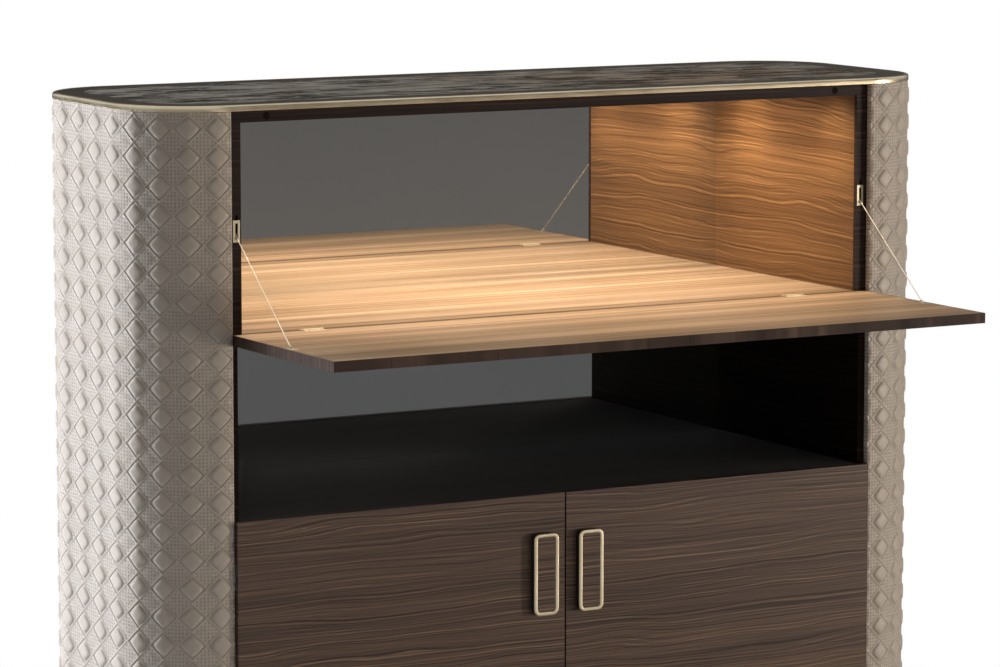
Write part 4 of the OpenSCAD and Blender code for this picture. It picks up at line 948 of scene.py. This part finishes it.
def cover(side, name, node, shift):
    """shift moves the columns that many mm away from the carcase's front edge."""
    holder = bpy.data.objects.new("cell holder", cell_mesh.copy())
    bpy.context.scene.collection.objects.link(holder)
    mesh = bake(name, holder, quilt_tree(shift), Plan=plan_line, Columns=columns, Rows=rows,
                Top=(cover_top - TOP_BAND + ROW_H) * MM, Length=plan_length * MM, Leather=leather,
                **{"Row height": ROW_H * MM})
    sheet = bmesh.new()
    sheet.from_mesh(mesh)
    trim(sheet)
    turn_in(sheet)
    if side < 0:
        for vert in sheet.verts:
            vert.co.x = -vert.co.x
        bmesh.ops.reverse_faces(sheet, faces=sheet.faces)
    sheet.to_mesh(mesh)
    sheet.free()
    obj = piece(name, mesh, "cabinet", smooth=True)
    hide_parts(node)
    return obj


# The photograph shows the right pod's columns a little further from the carcase than the left one's
RIGHT_SHIFT = 9.4
quilt_right = cover(1, "quilted_cover_right", "upholstery_right", RIGHT_SHIFT)
cover(-1, "quilted_cover_left", "upholstery_left", 0.0)
bpy.data.objects.remove(plan_line)
print("each cover has", len(quilt_right.data.polygons), "faces")

# %% [markdown]
# ## The metal rims and the handle frames
#
# Both rims are extruded and bent round the cabinet's plan, and each handle has a frame bent from a small bar
# with rounded edges. They could be solids with bevelled edges, but a bevel pinches where a corner is round.
# They are all a closed line with a section run along it, so one tree sweeps them.

# %% Sweep a section along a closed line
def rounded_line(half_x, half_y, radius, steps=24):
    """A rectangle with rounded corners, as points in mm, counterclockwise."""
    line = []
    for cx, cy, start in ((1, -1, -90), (1, 1, 0), (-1, 1, 90), (-1, -1, 180)):
        for i in range(steps + 1):
            t = math.radians(start + 90 * i / steps)
            line.append((cx * (half_x - radius) + radius * math.cos(t),
                         cy * (half_y - radius) + radius * math.sin(t)))
    return line


def sweep_tree():
    """The tree that runs a section along a line."""
    tree, given, result = node_tree("swept section", ("Section", "NodeSocketObject"),
                                    ("Metal", "NodeSocketMaterial"))
    upright = add(tree, "GeometryNodeSetCurveNormal", {"Curve": given.outputs["Geometry"]}, mode="Z_UP")
    section = add(tree, "GeometryNodeObjectInfo", {"Object": given.outputs["Section"]})
    swept_wall = add(tree, "GeometryNodeCurveToMesh", {"Curve": upright,
                                                       "Profile Curve": section.outputs["Geometry"]})
    painted = add(tree, "GeometryNodeSetMaterial", {"Geometry": swept_wall,
                                                    "Material": given.outputs["Metal"]})
    tree.links.new(painted.outputs[0], result.inputs["Geometry"])
    return tree


sweep = sweep_tree()


def swept(name, line, section, metal_finish):
    """A mesh of the section, (outwards, up) points in mm, run along the line in plan."""
    shape = drawn_line(name + " section", [(x, -y) for x, y in section])
    mesh = bake(name, drawn_line(name + " line", line), sweep, Section=shape, Metal=metal_finish)
    bpy.data.objects.remove(shape)
    faced(mesh)
    mesh.shade_smooth()
    return mesh


def rounded_bar(low, high, outer, inner, steps=5, foot=None):
    """A bar's section between two corners in mm. outer and inner are the radii of its arrises there, and foot
    is that of the lower outer one where it differs."""
    section = []
    for cx, cy, start, r in ((high[0], low[1], -90, foot or outer), (high[0], high[1], 0, outer),
                             (low[0], high[1], 90, inner), (low[0], low[1], 180, inner)):
        for i in range(steps + 1):
            t = math.radians(start + 90 * i / steps)
            section.append((cx + (-r if cx == high[0] else r) + r * math.cos(t),
                            cy + (-r if cy == high[1] else r) + r * math.sin(t)))
    return section

# %% [markdown]
# ### The rims
#
# The top rim is two strips: a satin edge band with a well rounded outer arris, and a dark flat border that
# the stone is let into. The base rim is one wider band of the satin bronze.

# %% The rims
WIDTH, DEPTH = (rim_high.x - rim_low.x) / MM, (rim_high.y - rim_low.y) / MM
outline = rounded_line(WIDTH / 2, DEPTH / 2, corner_radius)
stone_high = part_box("marble_top")[1]
STONE_GAP = 0.15
border = (rim_high.x - stone_high.x) / MM - STONE_GAP
# Heights, widths and radii of the strips in mm. The border lies a hair inside the edge band.
RIM_H, EDGE_W, BASE_W = 10, 7, 24
OUTER_R, FOOT_R, BORDER_R = 3.6, 0.8, 0.6


def rim(name, node, section, metal_finish, level):
    """One strip of a rim, with its section's foot at that level in m."""
    mesh = swept(name, outline, section, metal_finish)
    mesh.transform(Matrix.Translation((0, 0, level)))
    obj = piece(name, mesh, "cabinet")
    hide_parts(node)
    return obj


rim("top_rim_edge", "top_rim",
    rounded_bar((-EDGE_W, 0), (0, RIM_H), OUTER_R, 0.3, foot=FOOT_R), champagne, rim_low.z)
rim("top_rim_border", "top_rim",
    rounded_bar((-border, 0.3), (-EDGE_W + 0.1, RIM_H - 0.1), 0.3, BORDER_R), dark_bronze, rim_low.z)
rim("base_rim_band", "base_rim",
    rounded_bar((-BASE_W, 0), (0, RIM_H), OUTER_R, BORDER_R), champagne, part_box("base_rim")[0].z)
print("border of the top", round(border, 1), "mm wide")

# %% [markdown]
# ### The handle frames
#
# Each handle is a dark core with a walnut inlay, framed by a thin bar that is bent to a ring and brazed. The
# ring is swept flat, as it would be bent, and then stood up on its door.

# %% The handle frames
HANDLE_CORNER, HANDLE_BAR = 11, 6.5
BAR_OUTER_R, BAR_INNER_R = 1.5, 1.3

for side, door in (("left", "door_left"), ("right", "door_right")):
    low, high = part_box("handle_frame_" + side)
    size = (high - low) / MM
    mesh = swept("handle frame " + side, rounded_line(size.x / 2, size.z / 2, HANDLE_CORNER, 10),
                 rounded_bar((-HANDLE_BAR, 0), (0, size.y), BAR_OUTER_R, BAR_INNER_R, 4), fitting_gold)
    # Stood up, with its face to the front
    mesh.transform(Matrix.Translation(((low.x + high.x) / 2, high.y, (low.z + high.z) / 2))
                   @ Matrix.Rotation(math.pi / 2, 4, "X"))
    frame_piece = piece("handle_ring_" + side, mesh, door)
    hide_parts("handle_frame_" + side)
print("handle ring", [round(v, 1) for v in size], "mm")

# %% [markdown]
# ## The stay cables
#
# Each stay is a wire rope of seven gilded strands, wound round one another once in about 15 mm. It runs from
# the eye on the flap's bracket up into the keeper, where the retractor's spring takes in what the closing
# flap gives back. A twisted relief on a plain rod would vanish at its outline, so the strands are real:
# Geometry Nodes copies one line seven times, winds six of them and gives them their thickness. The rope
# shortens as the flap closes, which the row frame shows with a squash along the rope.

# %% Wind the strands
OUTER_STRANDS, LINE_POINTS = 6, 130


def rope_tree():
    """The tree that lays a rope between two points. Each strand is a third as thick as the rope."""
    tree, given, result = node_tree("wire rope", ("Start", "NodeSocketVector"), ("End", "NodeSocketVector"),
                                    ("Thickness", "NodeSocketFloat"), ("Turns", "NodeSocketFloat"),
                                    ("Metal", "NodeSocketMaterial"))
    line = add(tree, "GeometryNodeCurvePrimitiveLine", {"Start": given.outputs["Start"],
                                                        "End": given.outputs["End"]})
    fine = add(tree, "GeometryNodeResampleCurve", {"Curve": line, "Count": LINE_POINTS})
    copies = add(tree, "GeometryNodeDuplicateElements", {"Geometry": fine, "Amount": OUTER_STRANDS + 1},
                 domain="SPLINE")
    number = add(tree, "GeometryNodeStoreNamedAttribute", {"Geometry": copies.outputs["Geometry"],
                                                           "Name": "strand",
                                                           "Value": copies.outputs["Duplicate Index"]},
                 data_type="FLOAT", domain="CURVE")
    strand = add(tree, "GeometryNodeInputNamedAttribute", {"Name": "strand"}, data_type="FLOAT")
    along = add(tree, "GeometryNodeSplineParameter")
    wound = add(tree, "ShaderNodeMath", {0: along.outputs["Factor"], 1: given.outputs["Turns"]},
                operation="MULTIPLY")
    first = add(tree, "ShaderNodeMath", {0: strand, 1: OUTER_STRANDS}, operation="DIVIDE")
    turns = add(tree, "ShaderNodeMath", {0: wound, 1: first}, operation="ADD")
    angle = add(tree, "ShaderNodeMath", {0: turns, 1: 2 * math.pi}, operation="MULTIPLY")
    # The last strand is the core and stays on the line
    outer = add(tree, "ShaderNodeMath", {0: strand, 1: OUTER_STRANDS - 0.5}, operation="LESS_THAN")
    radius = add(tree, "ShaderNodeMath", {0: given.outputs["Thickness"], 1: outer}, operation="MULTIPLY")
    radius = add(tree, "ShaderNodeMath", {0: radius, 1: 1 / 3}, operation="MULTIPLY")
    run = add(tree, "ShaderNodeVectorMath", {0: given.outputs["End"], 1: given.outputs["Start"]},
              operation="SUBTRACT")
    aside = add(tree, "ShaderNodeVectorMath", {0: (1, 0, 0)})
    across = add(tree, "ShaderNodeVectorMath", {0: run, 1: aside}, operation="CROSS_PRODUCT")
    across = add(tree, "ShaderNodeVectorMath", {0: across}, operation="NORMALIZE")
    parts = []
    for wave, axis in (("COSINE", (1, 0, 0)), ("SINE", across)):
        share = add(tree, "ShaderNodeMath", {0: angle}, operation=wave)
        reach = add(tree, "ShaderNodeMath", {0: share, 1: radius}, operation="MULTIPLY")
        parts.append(add(tree, "ShaderNodeVectorMath", {0: axis, "Scale": reach}, operation="SCALE"))
    offset = add(tree, "ShaderNodeVectorMath", {0: parts[0], 1: parts[1]}, operation="ADD")
    moved = add(tree, "GeometryNodeSetPosition", {"Geometry": number, "Offset": offset})
    wire = add(tree, "GeometryNodeCurvePrimitiveCircle", {"Resolution": 6})
    thick = add(tree, "ShaderNodeMath", {0: given.outputs["Thickness"], 1: 1 / 6}, operation="MULTIPLY")
    tree.links.new(thick.outputs[0], wire.inputs["Radius"])
    tube = add(tree, "GeometryNodeCurveToMesh", {"Curve": moved, "Profile Curve": wire.outputs["Curve"],
                                                 "Fill Caps": True})
    painted = add(tree, "GeometryNodeSetMaterial", {"Geometry": tube, "Material": given.outputs["Metal"]})
    tree.links.new(painted.outputs[0], result.inputs["Geometry"])
    return tree


# The rope is 2 mm thick. It ends in the bracket's eye and in the mouth of the guide tube behind the keeper.
ROPE_T, ROPE_TURNS = 2.0, 16.0
EYE_Y, EYE_Z, EYE_GAP = -0.419, 0.9858, 0.0016
MOUTH_BACK, MOUTH_DOWN = 0.0007, 0.0010

rope = rope_tree()
for side in ("left", "right"):
    low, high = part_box("stay_cable_" + side)
    x = (low.x + high.x) / 2
    eye, top = Vector((x, EYE_Y, EYE_Z)), Vector((x, high.y - MOUTH_BACK, high.z - MOUTH_DOWN))
    run = (top - eye).normalized()
    holder = bpy.data.objects.new("rope holder", bpy.data.meshes.new("rope holder"))
    bpy.context.scene.collection.objects.link(holder)
    mesh = bake("stay rope " + side, holder, rope, Start=eye + run * EYE_GAP, End=top, Thickness=ROPE_T * MM,
                Turns=ROPE_TURNS, Metal=wire_gold)
    faced(mesh)
    cable = piece("stay_rope_" + side, mesh, "flap", smooth=True)
    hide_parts("stay_cable_" + side)
    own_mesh(cable)
print("rope faces", len(mesh.polygons))

# %% [markdown]
# ## Spots and screws
#
# The six spots over the bar and all the screws are copies of one turned shape each. They could be placed one
# by one, but a shape that changes would then have to change at every place. So Geometry Nodes puts a copy on
# every point of a small mesh and turns it as that point's attribute says.

# %% Copies on points
def copies_tree():
    """The tree that puts a shape on every point of a mesh."""
    tree, given, result = node_tree("copies on points", ("Shape", "NodeSocketObject"),
                                    ("Finish", "NodeSocketMaterial"))
    shape = add(tree, "GeometryNodeObjectInfo", {"Object": given.outputs["Shape"]})
    turn = add(tree, "GeometryNodeInputNamedAttribute", {"Name": "turn"}, data_type="FLOAT_VECTOR")
    placed = add(tree, "GeometryNodeInstanceOnPoints", {"Points": given.outputs["Geometry"],
                                                        "Instance": shape.outputs["Geometry"],
                                                        "Rotation": turn})
    real = add(tree, "GeometryNodeRealizeInstances", {"Geometry": placed})
    painted = add(tree, "GeometryNodeSetMaterial", {"Geometry": real, "Material": given.outputs["Finish"]})
    tree.links.new(painted.outputs[0], result.inputs["Geometry"])
    return tree


copies = copies_tree()


def turned_mesh(name, outline_rz, around=24):
    """A shape turned on a lathe about Z from (radius, height) points in mm. A radius of 0 closes it."""
    points, faces, rows = [], [], []
    for r, z in outline_rz:
        if r == 0:
            rows.append([len(points)])
            points.append((0, 0, z))
        else:
            rows.append(list(range(len(points), len(points) + around)))
            points += [(r * math.cos(2 * math.pi * i / around), r * math.sin(2 * math.pi * i / around), z)
                       for i in range(around)]
    for a, b in zip(rows, rows[1:]):
        for i in range(around):
            j = (i + 1) % around
            corner = [a[i % len(a)], a[j % len(a)], b[j % len(b)], b[i % len(b)]]
            faces.append(list(dict.fromkeys(corner)))
    mesh = mesh_of(name, points, faces)
    faced(mesh)
    return mesh


def repeated(name, shape_mesh, places, finish_used, body):
    """One piece of copies of a shape at (point in mm, turn in degrees) places."""
    holder_mesh = mesh_of(name + " places", [p for p, _ in places], [])
    turns = holder_mesh.attributes.new("turn", "FLOAT_VECTOR", "POINT")
    for item, (_, angles) in zip(turns.data, places):
        item.vector = [math.radians(a) for a in angles]
    holder = bpy.data.objects.new(name + " places", holder_mesh)
    shape = bpy.data.objects.new(name + " shape", shape_mesh)
    for obj in (holder, shape):
        bpy.context.scene.collection.objects.link(obj)
    mesh = bake(name, holder, copies, Shape=shape, Finish=finish_used)
    bpy.data.objects.remove(shape)
    return piece(name, mesh, body, smooth=True)


# %% [markdown]
# ### The spots in the top board
#
# Each spot is a turned steel bezel with a frosted lens in it that bulges a little. Both are half sections
# spun round, as they would be on a lathe.

# %% The spots in the top board
lens_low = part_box("led_lenses")[0]
case_low, case_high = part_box("led_housings")
spot_r = 28.0
outer_x = case_high.x / MM - spot_r
front_y, back_y = case_low.y / MM + spot_r, case_high.y / MM - spot_r
SPOTS = [(x, y) for x in (-outer_x, 0, outer_x) for y in (front_y, back_y)]
# Half sections as (radius, height) in mm above the lens' and the bezel's lowest point
BEZEL = [(23.6, 5), (23.6, 1.4), (24.3, 0.4), (25.2, 0.05), (27.2, 0.05), (27.9, 0.5), (27.9, 11.9),
         (0, 11.9)]
LENS_BULGE = [(0, 0.9), (9, 1.0), (16, 1.2), (21, 1.6), (23.4, 2.4), (23.4, 4), (0, 4)]
bezel = turned_mesh("spot bezel", BEZEL, 40)
glass = turned_mesh("spot lens", LENS_BULGE, 32)
ring = repeated("spot_bezels", bezel, [((x, y, case_low.z / MM), (0, 0, 0)) for x, y in SPOTS], steel,
                "cabinet")
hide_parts("led_housings")
lenses = repeated("spot_lenses", glass, [((x, y, lens_low.z / MM), (0, 0, 0)) for x, y in SPOTS],
                  lens_glass, "cabinet")
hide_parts("led_lenses")
print("spots", [(round(x), round(y)) for x, y in SPOTS])

# %% [markdown]
# ### The screws
#
# The hinges, the keepers and the back panel are held by small countersunk screws with a hexagon socket. One
# head is built from four bands of faces and a bottom for the socket, and goes to all the places.

# %% The screws
HEAD_BANDS = ((2.3, -0.1, 0), (2.3, 0.12, 0), (2.05, 0.24, 0), (1.15, 0.2, 1), (1.05, -0.5, 1))
AROUND = 12


def screw_head(size):
    """A flat countersunk head with a hexagon socket. A size of 1 is 4.6 mm across. The bands are (radius,
    height, whether they are hexagons)."""
    points, faces = [], []
    for r, z, hexagon in HEAD_BANDS:
        for i in range(AROUND):
            t = math.radians(360 / AROUND * i)
            flat = math.cos(math.pi / 6) / math.cos(t % (math.pi / 3) - math.pi / 6)
            reach = r * (flat if hexagon else 1)
            points.append((size * reach * math.cos(t), size * reach * math.sin(t), z))
    for row in range(len(HEAD_BANDS) - 1):
        for i in range(AROUND):
            a, b = row * AROUND + i, row * AROUND + (i + 1) % AROUND
            faces.append((a, b, b + AROUND, a + AROUND))
    faces.append([(len(HEAD_BANDS) - 1) * AROUND + i for i in range(AROUND)])
    mesh = mesh_of("screw head", points, faces)
    faced(mesh)
    return mesh


# Places in mm: two hinges with two screws in each leaf, two screws in each keeper, and the back panel's edge
HINGE_X, HINGE_Y, FLOOR_Z = 460, -232, 983.5
LEAF_HALF_X, LEAF_HALF_Y = 11, 9.5
KEEPER_X, KEEPER_Y, KEEPER_SCREWS_Z = 594, -231, (1133.2, 1163.8)
BACK_X, BACK_Y = 590, 236
BACK_ENDS_Z, BACK_SIDES_Z = (95, 1325), (403, 710, 1018)
FACING_UP, FACING_FRONT, FACING_BACK = (0, 0, 0), (90, 0, 0), (-90, 0, 0)

on_cabinet, on_flap, on_keepers = [], [], []
for x in (-HINGE_X, HINGE_X):
    for dx in (-LEAF_HALF_X, LEAF_HALF_X):
        on_cabinet.append(((x + dx, HINGE_Y + LEAF_HALF_Y, FLOOR_Z), FACING_UP))
        on_flap.append(((x + dx, HINGE_Y - LEAF_HALF_Y, FLOOR_Z), FACING_UP))
for x in (-KEEPER_X, KEEPER_X):
    on_keepers += [((x, KEEPER_Y, z), FACING_FRONT) for z in KEEPER_SCREWS_Z]
on_back = [((x, BACK_Y, z), FACING_BACK) for x in (-BACK_X, -BACK_X / 2, 0, BACK_X / 2, BACK_X)
           for z in BACK_ENDS_Z]
on_back += [((x, BACK_Y, z), FACING_BACK) for x in (-BACK_X, BACK_X) for z in BACK_SIDES_Z]
for name, size, places, metal_finish, body, slot_name in (
        ("screws_cabinet", 1, on_cabinet, fitting_gold, "cabinet", "fittings_gold"),
        ("screws_flap", 1, on_flap, fitting_gold, "flap", "fittings_gold"),
        ("screws_keepers", 0.75, on_keepers, fitting_gold, "cabinet", "fittings_gold"),
        ("screws_back", 1, on_back, steel, "cabinet", "steel")):
    repeated(name, screw_head(size), places, metal_finish, body)
print("screws", len(on_cabinet) + len(on_flap) + len(on_keepers) + len(on_back))

# %% [markdown]
# ## The studio
#
# The cabinet is lit softly from the left and the right, in front of white, and its mirrors show the dark
# sides of the room. A closed room would swallow the light, so the floor melts into white, two cards stand
# where only mirrors see them, and soft boxes do the rest.

# %% Floor, backdrop and lamps
FLOOR_HALF = 60000
# The floor turns white for the camera between these distances in m from the cabinet's foot
PALE_TO, WHITE_FROM = 0.9, 1.75
CARD_H = 5


def studio_floor():
    """A wide pale floor that takes the cabinet's shadow."""
    mesh = mesh_of("studio floor", [(-FLOOR_HALF, -FLOOR_HALF, 0), (FLOOR_HALF, -FLOOR_HALF, 0),
                                    (FLOOR_HALF, FLOOR_HALF, 0), (-FLOOR_HALF, FLOOR_HALF, 0)],
                   [(0, 1, 2, 3)])
    obj = bpy.data.objects.new("studio_floor", mesh)
    bpy.context.scene.collection.objects.link(obj)
    material, tree, surface = finish("pale studio floor", 0.8)
    surface.inputs["Base Color"].default_value = linear("#e8e8e6")
    coords = add(tree, "ShaderNodeTexCoord")
    far = add(tree, "ShaderNodeVectorMath", {0: coords.outputs["Object"]}, operation="LENGTH")
    share = add(tree, "ShaderNodeMapRange", {"Value": far.outputs["Value"], "From Min": PALE_TO,
                                             "From Max": WHITE_FROM}, interpolation_type="SMOOTHSTEP")
    rays = add(tree, "ShaderNodeLightPath")
    seen = add(tree, "ShaderNodeMath", {0: share, 1: rays.outputs["Is Camera Ray"]}, operation="MULTIPLY")
    white = add(tree, "ShaderNodeEmission", {"Color": (1, 1, 1, 1), "Strength": 1.0})
    both = add(tree, "ShaderNodeMixShader", {0: seen, 1: surface, 2: white})
    tree.links.new(both.outputs[0], tree.nodes["Material Output"].inputs["Surface"])
    mesh.materials.append(material)


def reflected_card(name, y, ends, tones):
    """A wall between two X places in mm that only mirrors and polished surfaces see, as the dark sides of the
    studio do in the photograph. tones are (height in m, colour) pairs."""
    mesh = mesh_of(name, [(ends[0], y, 0), (ends[1], y, 0), (ends[1], y, CARD_H / MM),
                          (ends[0], y, CARD_H / MM)], [(3, 2, 1, 0)])
    obj = bpy.data.objects.new(name, mesh)
    bpy.context.scene.collection.objects.link(obj)
    for ray in ("camera", "diffuse", "shadow", "transmission", "volume_scatter"):
        setattr(obj, "visible_" + ray, False)
    material = bpy.data.materials.new(name + " paint")
    material.use_nodes = True
    tree = material.node_tree
    place = add(tree, "ShaderNodeSeparateXYZ", {"Vector": add(tree, "ShaderNodeTexCoord").outputs["Object"]})
    height = add(tree, "ShaderNodeMath", {0: place.outputs["Z"], 1: CARD_H}, operation="DIVIDE")
    tone = add(tree, "ShaderNodeValToRGB", {"Fac": height},
               stops=[(z / CARD_H, colour) for z, colour in tones])
    glow = add(tree, "ShaderNodeEmission", {"Color": tone.outputs["Color"], "Strength": 1.0})
    tree.links.new(glow.outputs[0], tree.nodes["Material Output"].inputs["Surface"])
    mesh.materials.append(material)


studio_floor()
reflected_card("grey_wall_in_front", -4000, (700, 9000),
               ((0.34, "#555555"), (0.42, "#67625e"), (0.95, "#5d5a58")))
reflected_card("dark_wall_behind", 6000, (-500, 12000), ((0.0, "#2c2a28"), (CARD_H, "#2c2a28")))

# The camera, the mirrors and the lenses see white all round, and everything else gets a faint warm light
world = bpy.data.worlds.new("studio")
bpy.context.scene.world = world
world.use_nodes = True
tree = world.node_tree
tree.nodes.clear()
rays = add(tree, "ShaderNodeLightPath")
seen = add(tree, "ShaderNodeMath", {0: rays.outputs["Is Camera Ray"], 1: rays.outputs["Is Glossy Ray"]},
           operation="MAXIMUM")
seen = add(tree, "ShaderNodeMath", {0: seen, 1: rays.outputs["Is Transmission Ray"]}, operation="MAXIMUM")
ambient = add(tree, "ShaderNodeBackground", {"Color": linear("#fff4e8"), "Strength": 0.15})
backdrop = add(tree, "ShaderNodeBackground", {"Color": (1, 1, 1, 1), "Strength": 1.0})
both = add(tree, "ShaderNodeMixShader", {0: seen, 1: ambient, 2: backdrop})
tree.links.new(both.outputs[0], add(tree, "ShaderNodeOutputWorld").inputs["Surface"])


def softbox(name, place, target, size, watts, colour="#ffffff", mirrored=True):
    """A lamp with a soft rectangle of light, turned to a target. A box that isn't mirrored shows in no
    polished surface."""
    data = bpy.data.lights.new(name, "AREA")
    data.shape, data.size, data.size_y = "RECTANGLE", size[0], size[1]
    data.energy, data.color = watts, linear(colour)[:3]
    obj = bpy.data.objects.new(name, data)
    obj.location = place
    obj.rotation_euler = (Vector(target) - Vector(place)).to_track_quat("-Z", "Y").to_euler()
    obj.visible_camera, obj.visible_glossy = False, mirrored
    bpy.context.scene.collection.objects.link(obj)


# The main light comes from the left and behind, two low ones lift the fronts, and a warm one the right pod
softbox("softbox_left", (-3.4, 3.8, 1.4), (-0.6, 0.1, 0.8), (1.8, 2.4), 655, "#eef3ff", mirrored=False)
softbox("softbox_low", (2.2, -4.4, 0.15), (0.2, 0, 1.0), (2.6, 0.4), 30, "#fff3e6", mirrored=False)
softbox("softbox_rim", (1.2, -4.6, 0.2), (0.1, 0, 1.1), (3.0, 0.5), 15, "#fff8f0")
softbox("softbox_right", (4.5, -3.3, 0.55), (0.6, 0, 0.5), (1.0, 1.0), 128, "#fff3e6")

# %% [markdown]
# ### The lamps in the bar
#
# A spot's diodes shine down through a frosted lens, which also scatters some light sideways. One lamp under
# each lens gives the first, and a second, leaning one under each outer lens draws the scallops on the bar's
# sides. Light scattered by all six is one wide soft lamp under the roof: six more lamps would only add noise.

# %% The lamps in the bar
LAMP_AMBER = "#ffe4c4"
DOWN_WATTS, DOWN_CONE = 2.3, 146
SIDE_WATTS, SIDE_CONE, SIDE_LEAN = 1.1, 62, 62
LAMP_DROP, GLOW_DROP = 0.004, 0.005
GLOW_X, GLOW_Y, GLOW_TARGET_Z = 0.03, 0.02, 0.9


def bar_lamp(name, x, y, watts, cone, lean=0.0):
    """A lamp under a spot's lens. lean tips its beam that many degrees towards the nearer side."""
    data = bpy.data.lights.new(name, "SPOT")
    data.energy, data.color = watts, linear(LAMP_AMBER)[:3]
    data.spot_size, data.spot_blend, data.shadow_soft_size = math.radians(cone), 0.7, 0.02
    lamp = bpy.data.objects.new(name, data)
    lamp.location = (x * MM, y * MM, lens_low.z - LAMP_DROP)
    lamp.rotation_euler = (0, math.radians(-lean if x > 0 else lean), 0)
    bpy.context.scene.collection.objects.link(lamp)


for number, (x, y) in enumerate(SPOTS):
    bar_lamp("bar_lamp_%d" % number, x, y, DOWN_WATTS, DOWN_CONE)
    if x:
        bar_lamp("bar_side_beam_%d" % number, x, y, SIDE_WATTS, SIDE_CONE, SIDE_LEAN)
softbox("bar_glow", (GLOW_X, GLOW_Y, lens_low.z - GLOW_DROP), (GLOW_X, GLOW_Y, GLOW_TARGET_Z), (1.0, 0.34),
        8.8, "#ffe2c6", mirrored=False)
print("lamps", len(bpy.data.lights))

bpy.context.scene.view_settings.view_transform = "Standard"
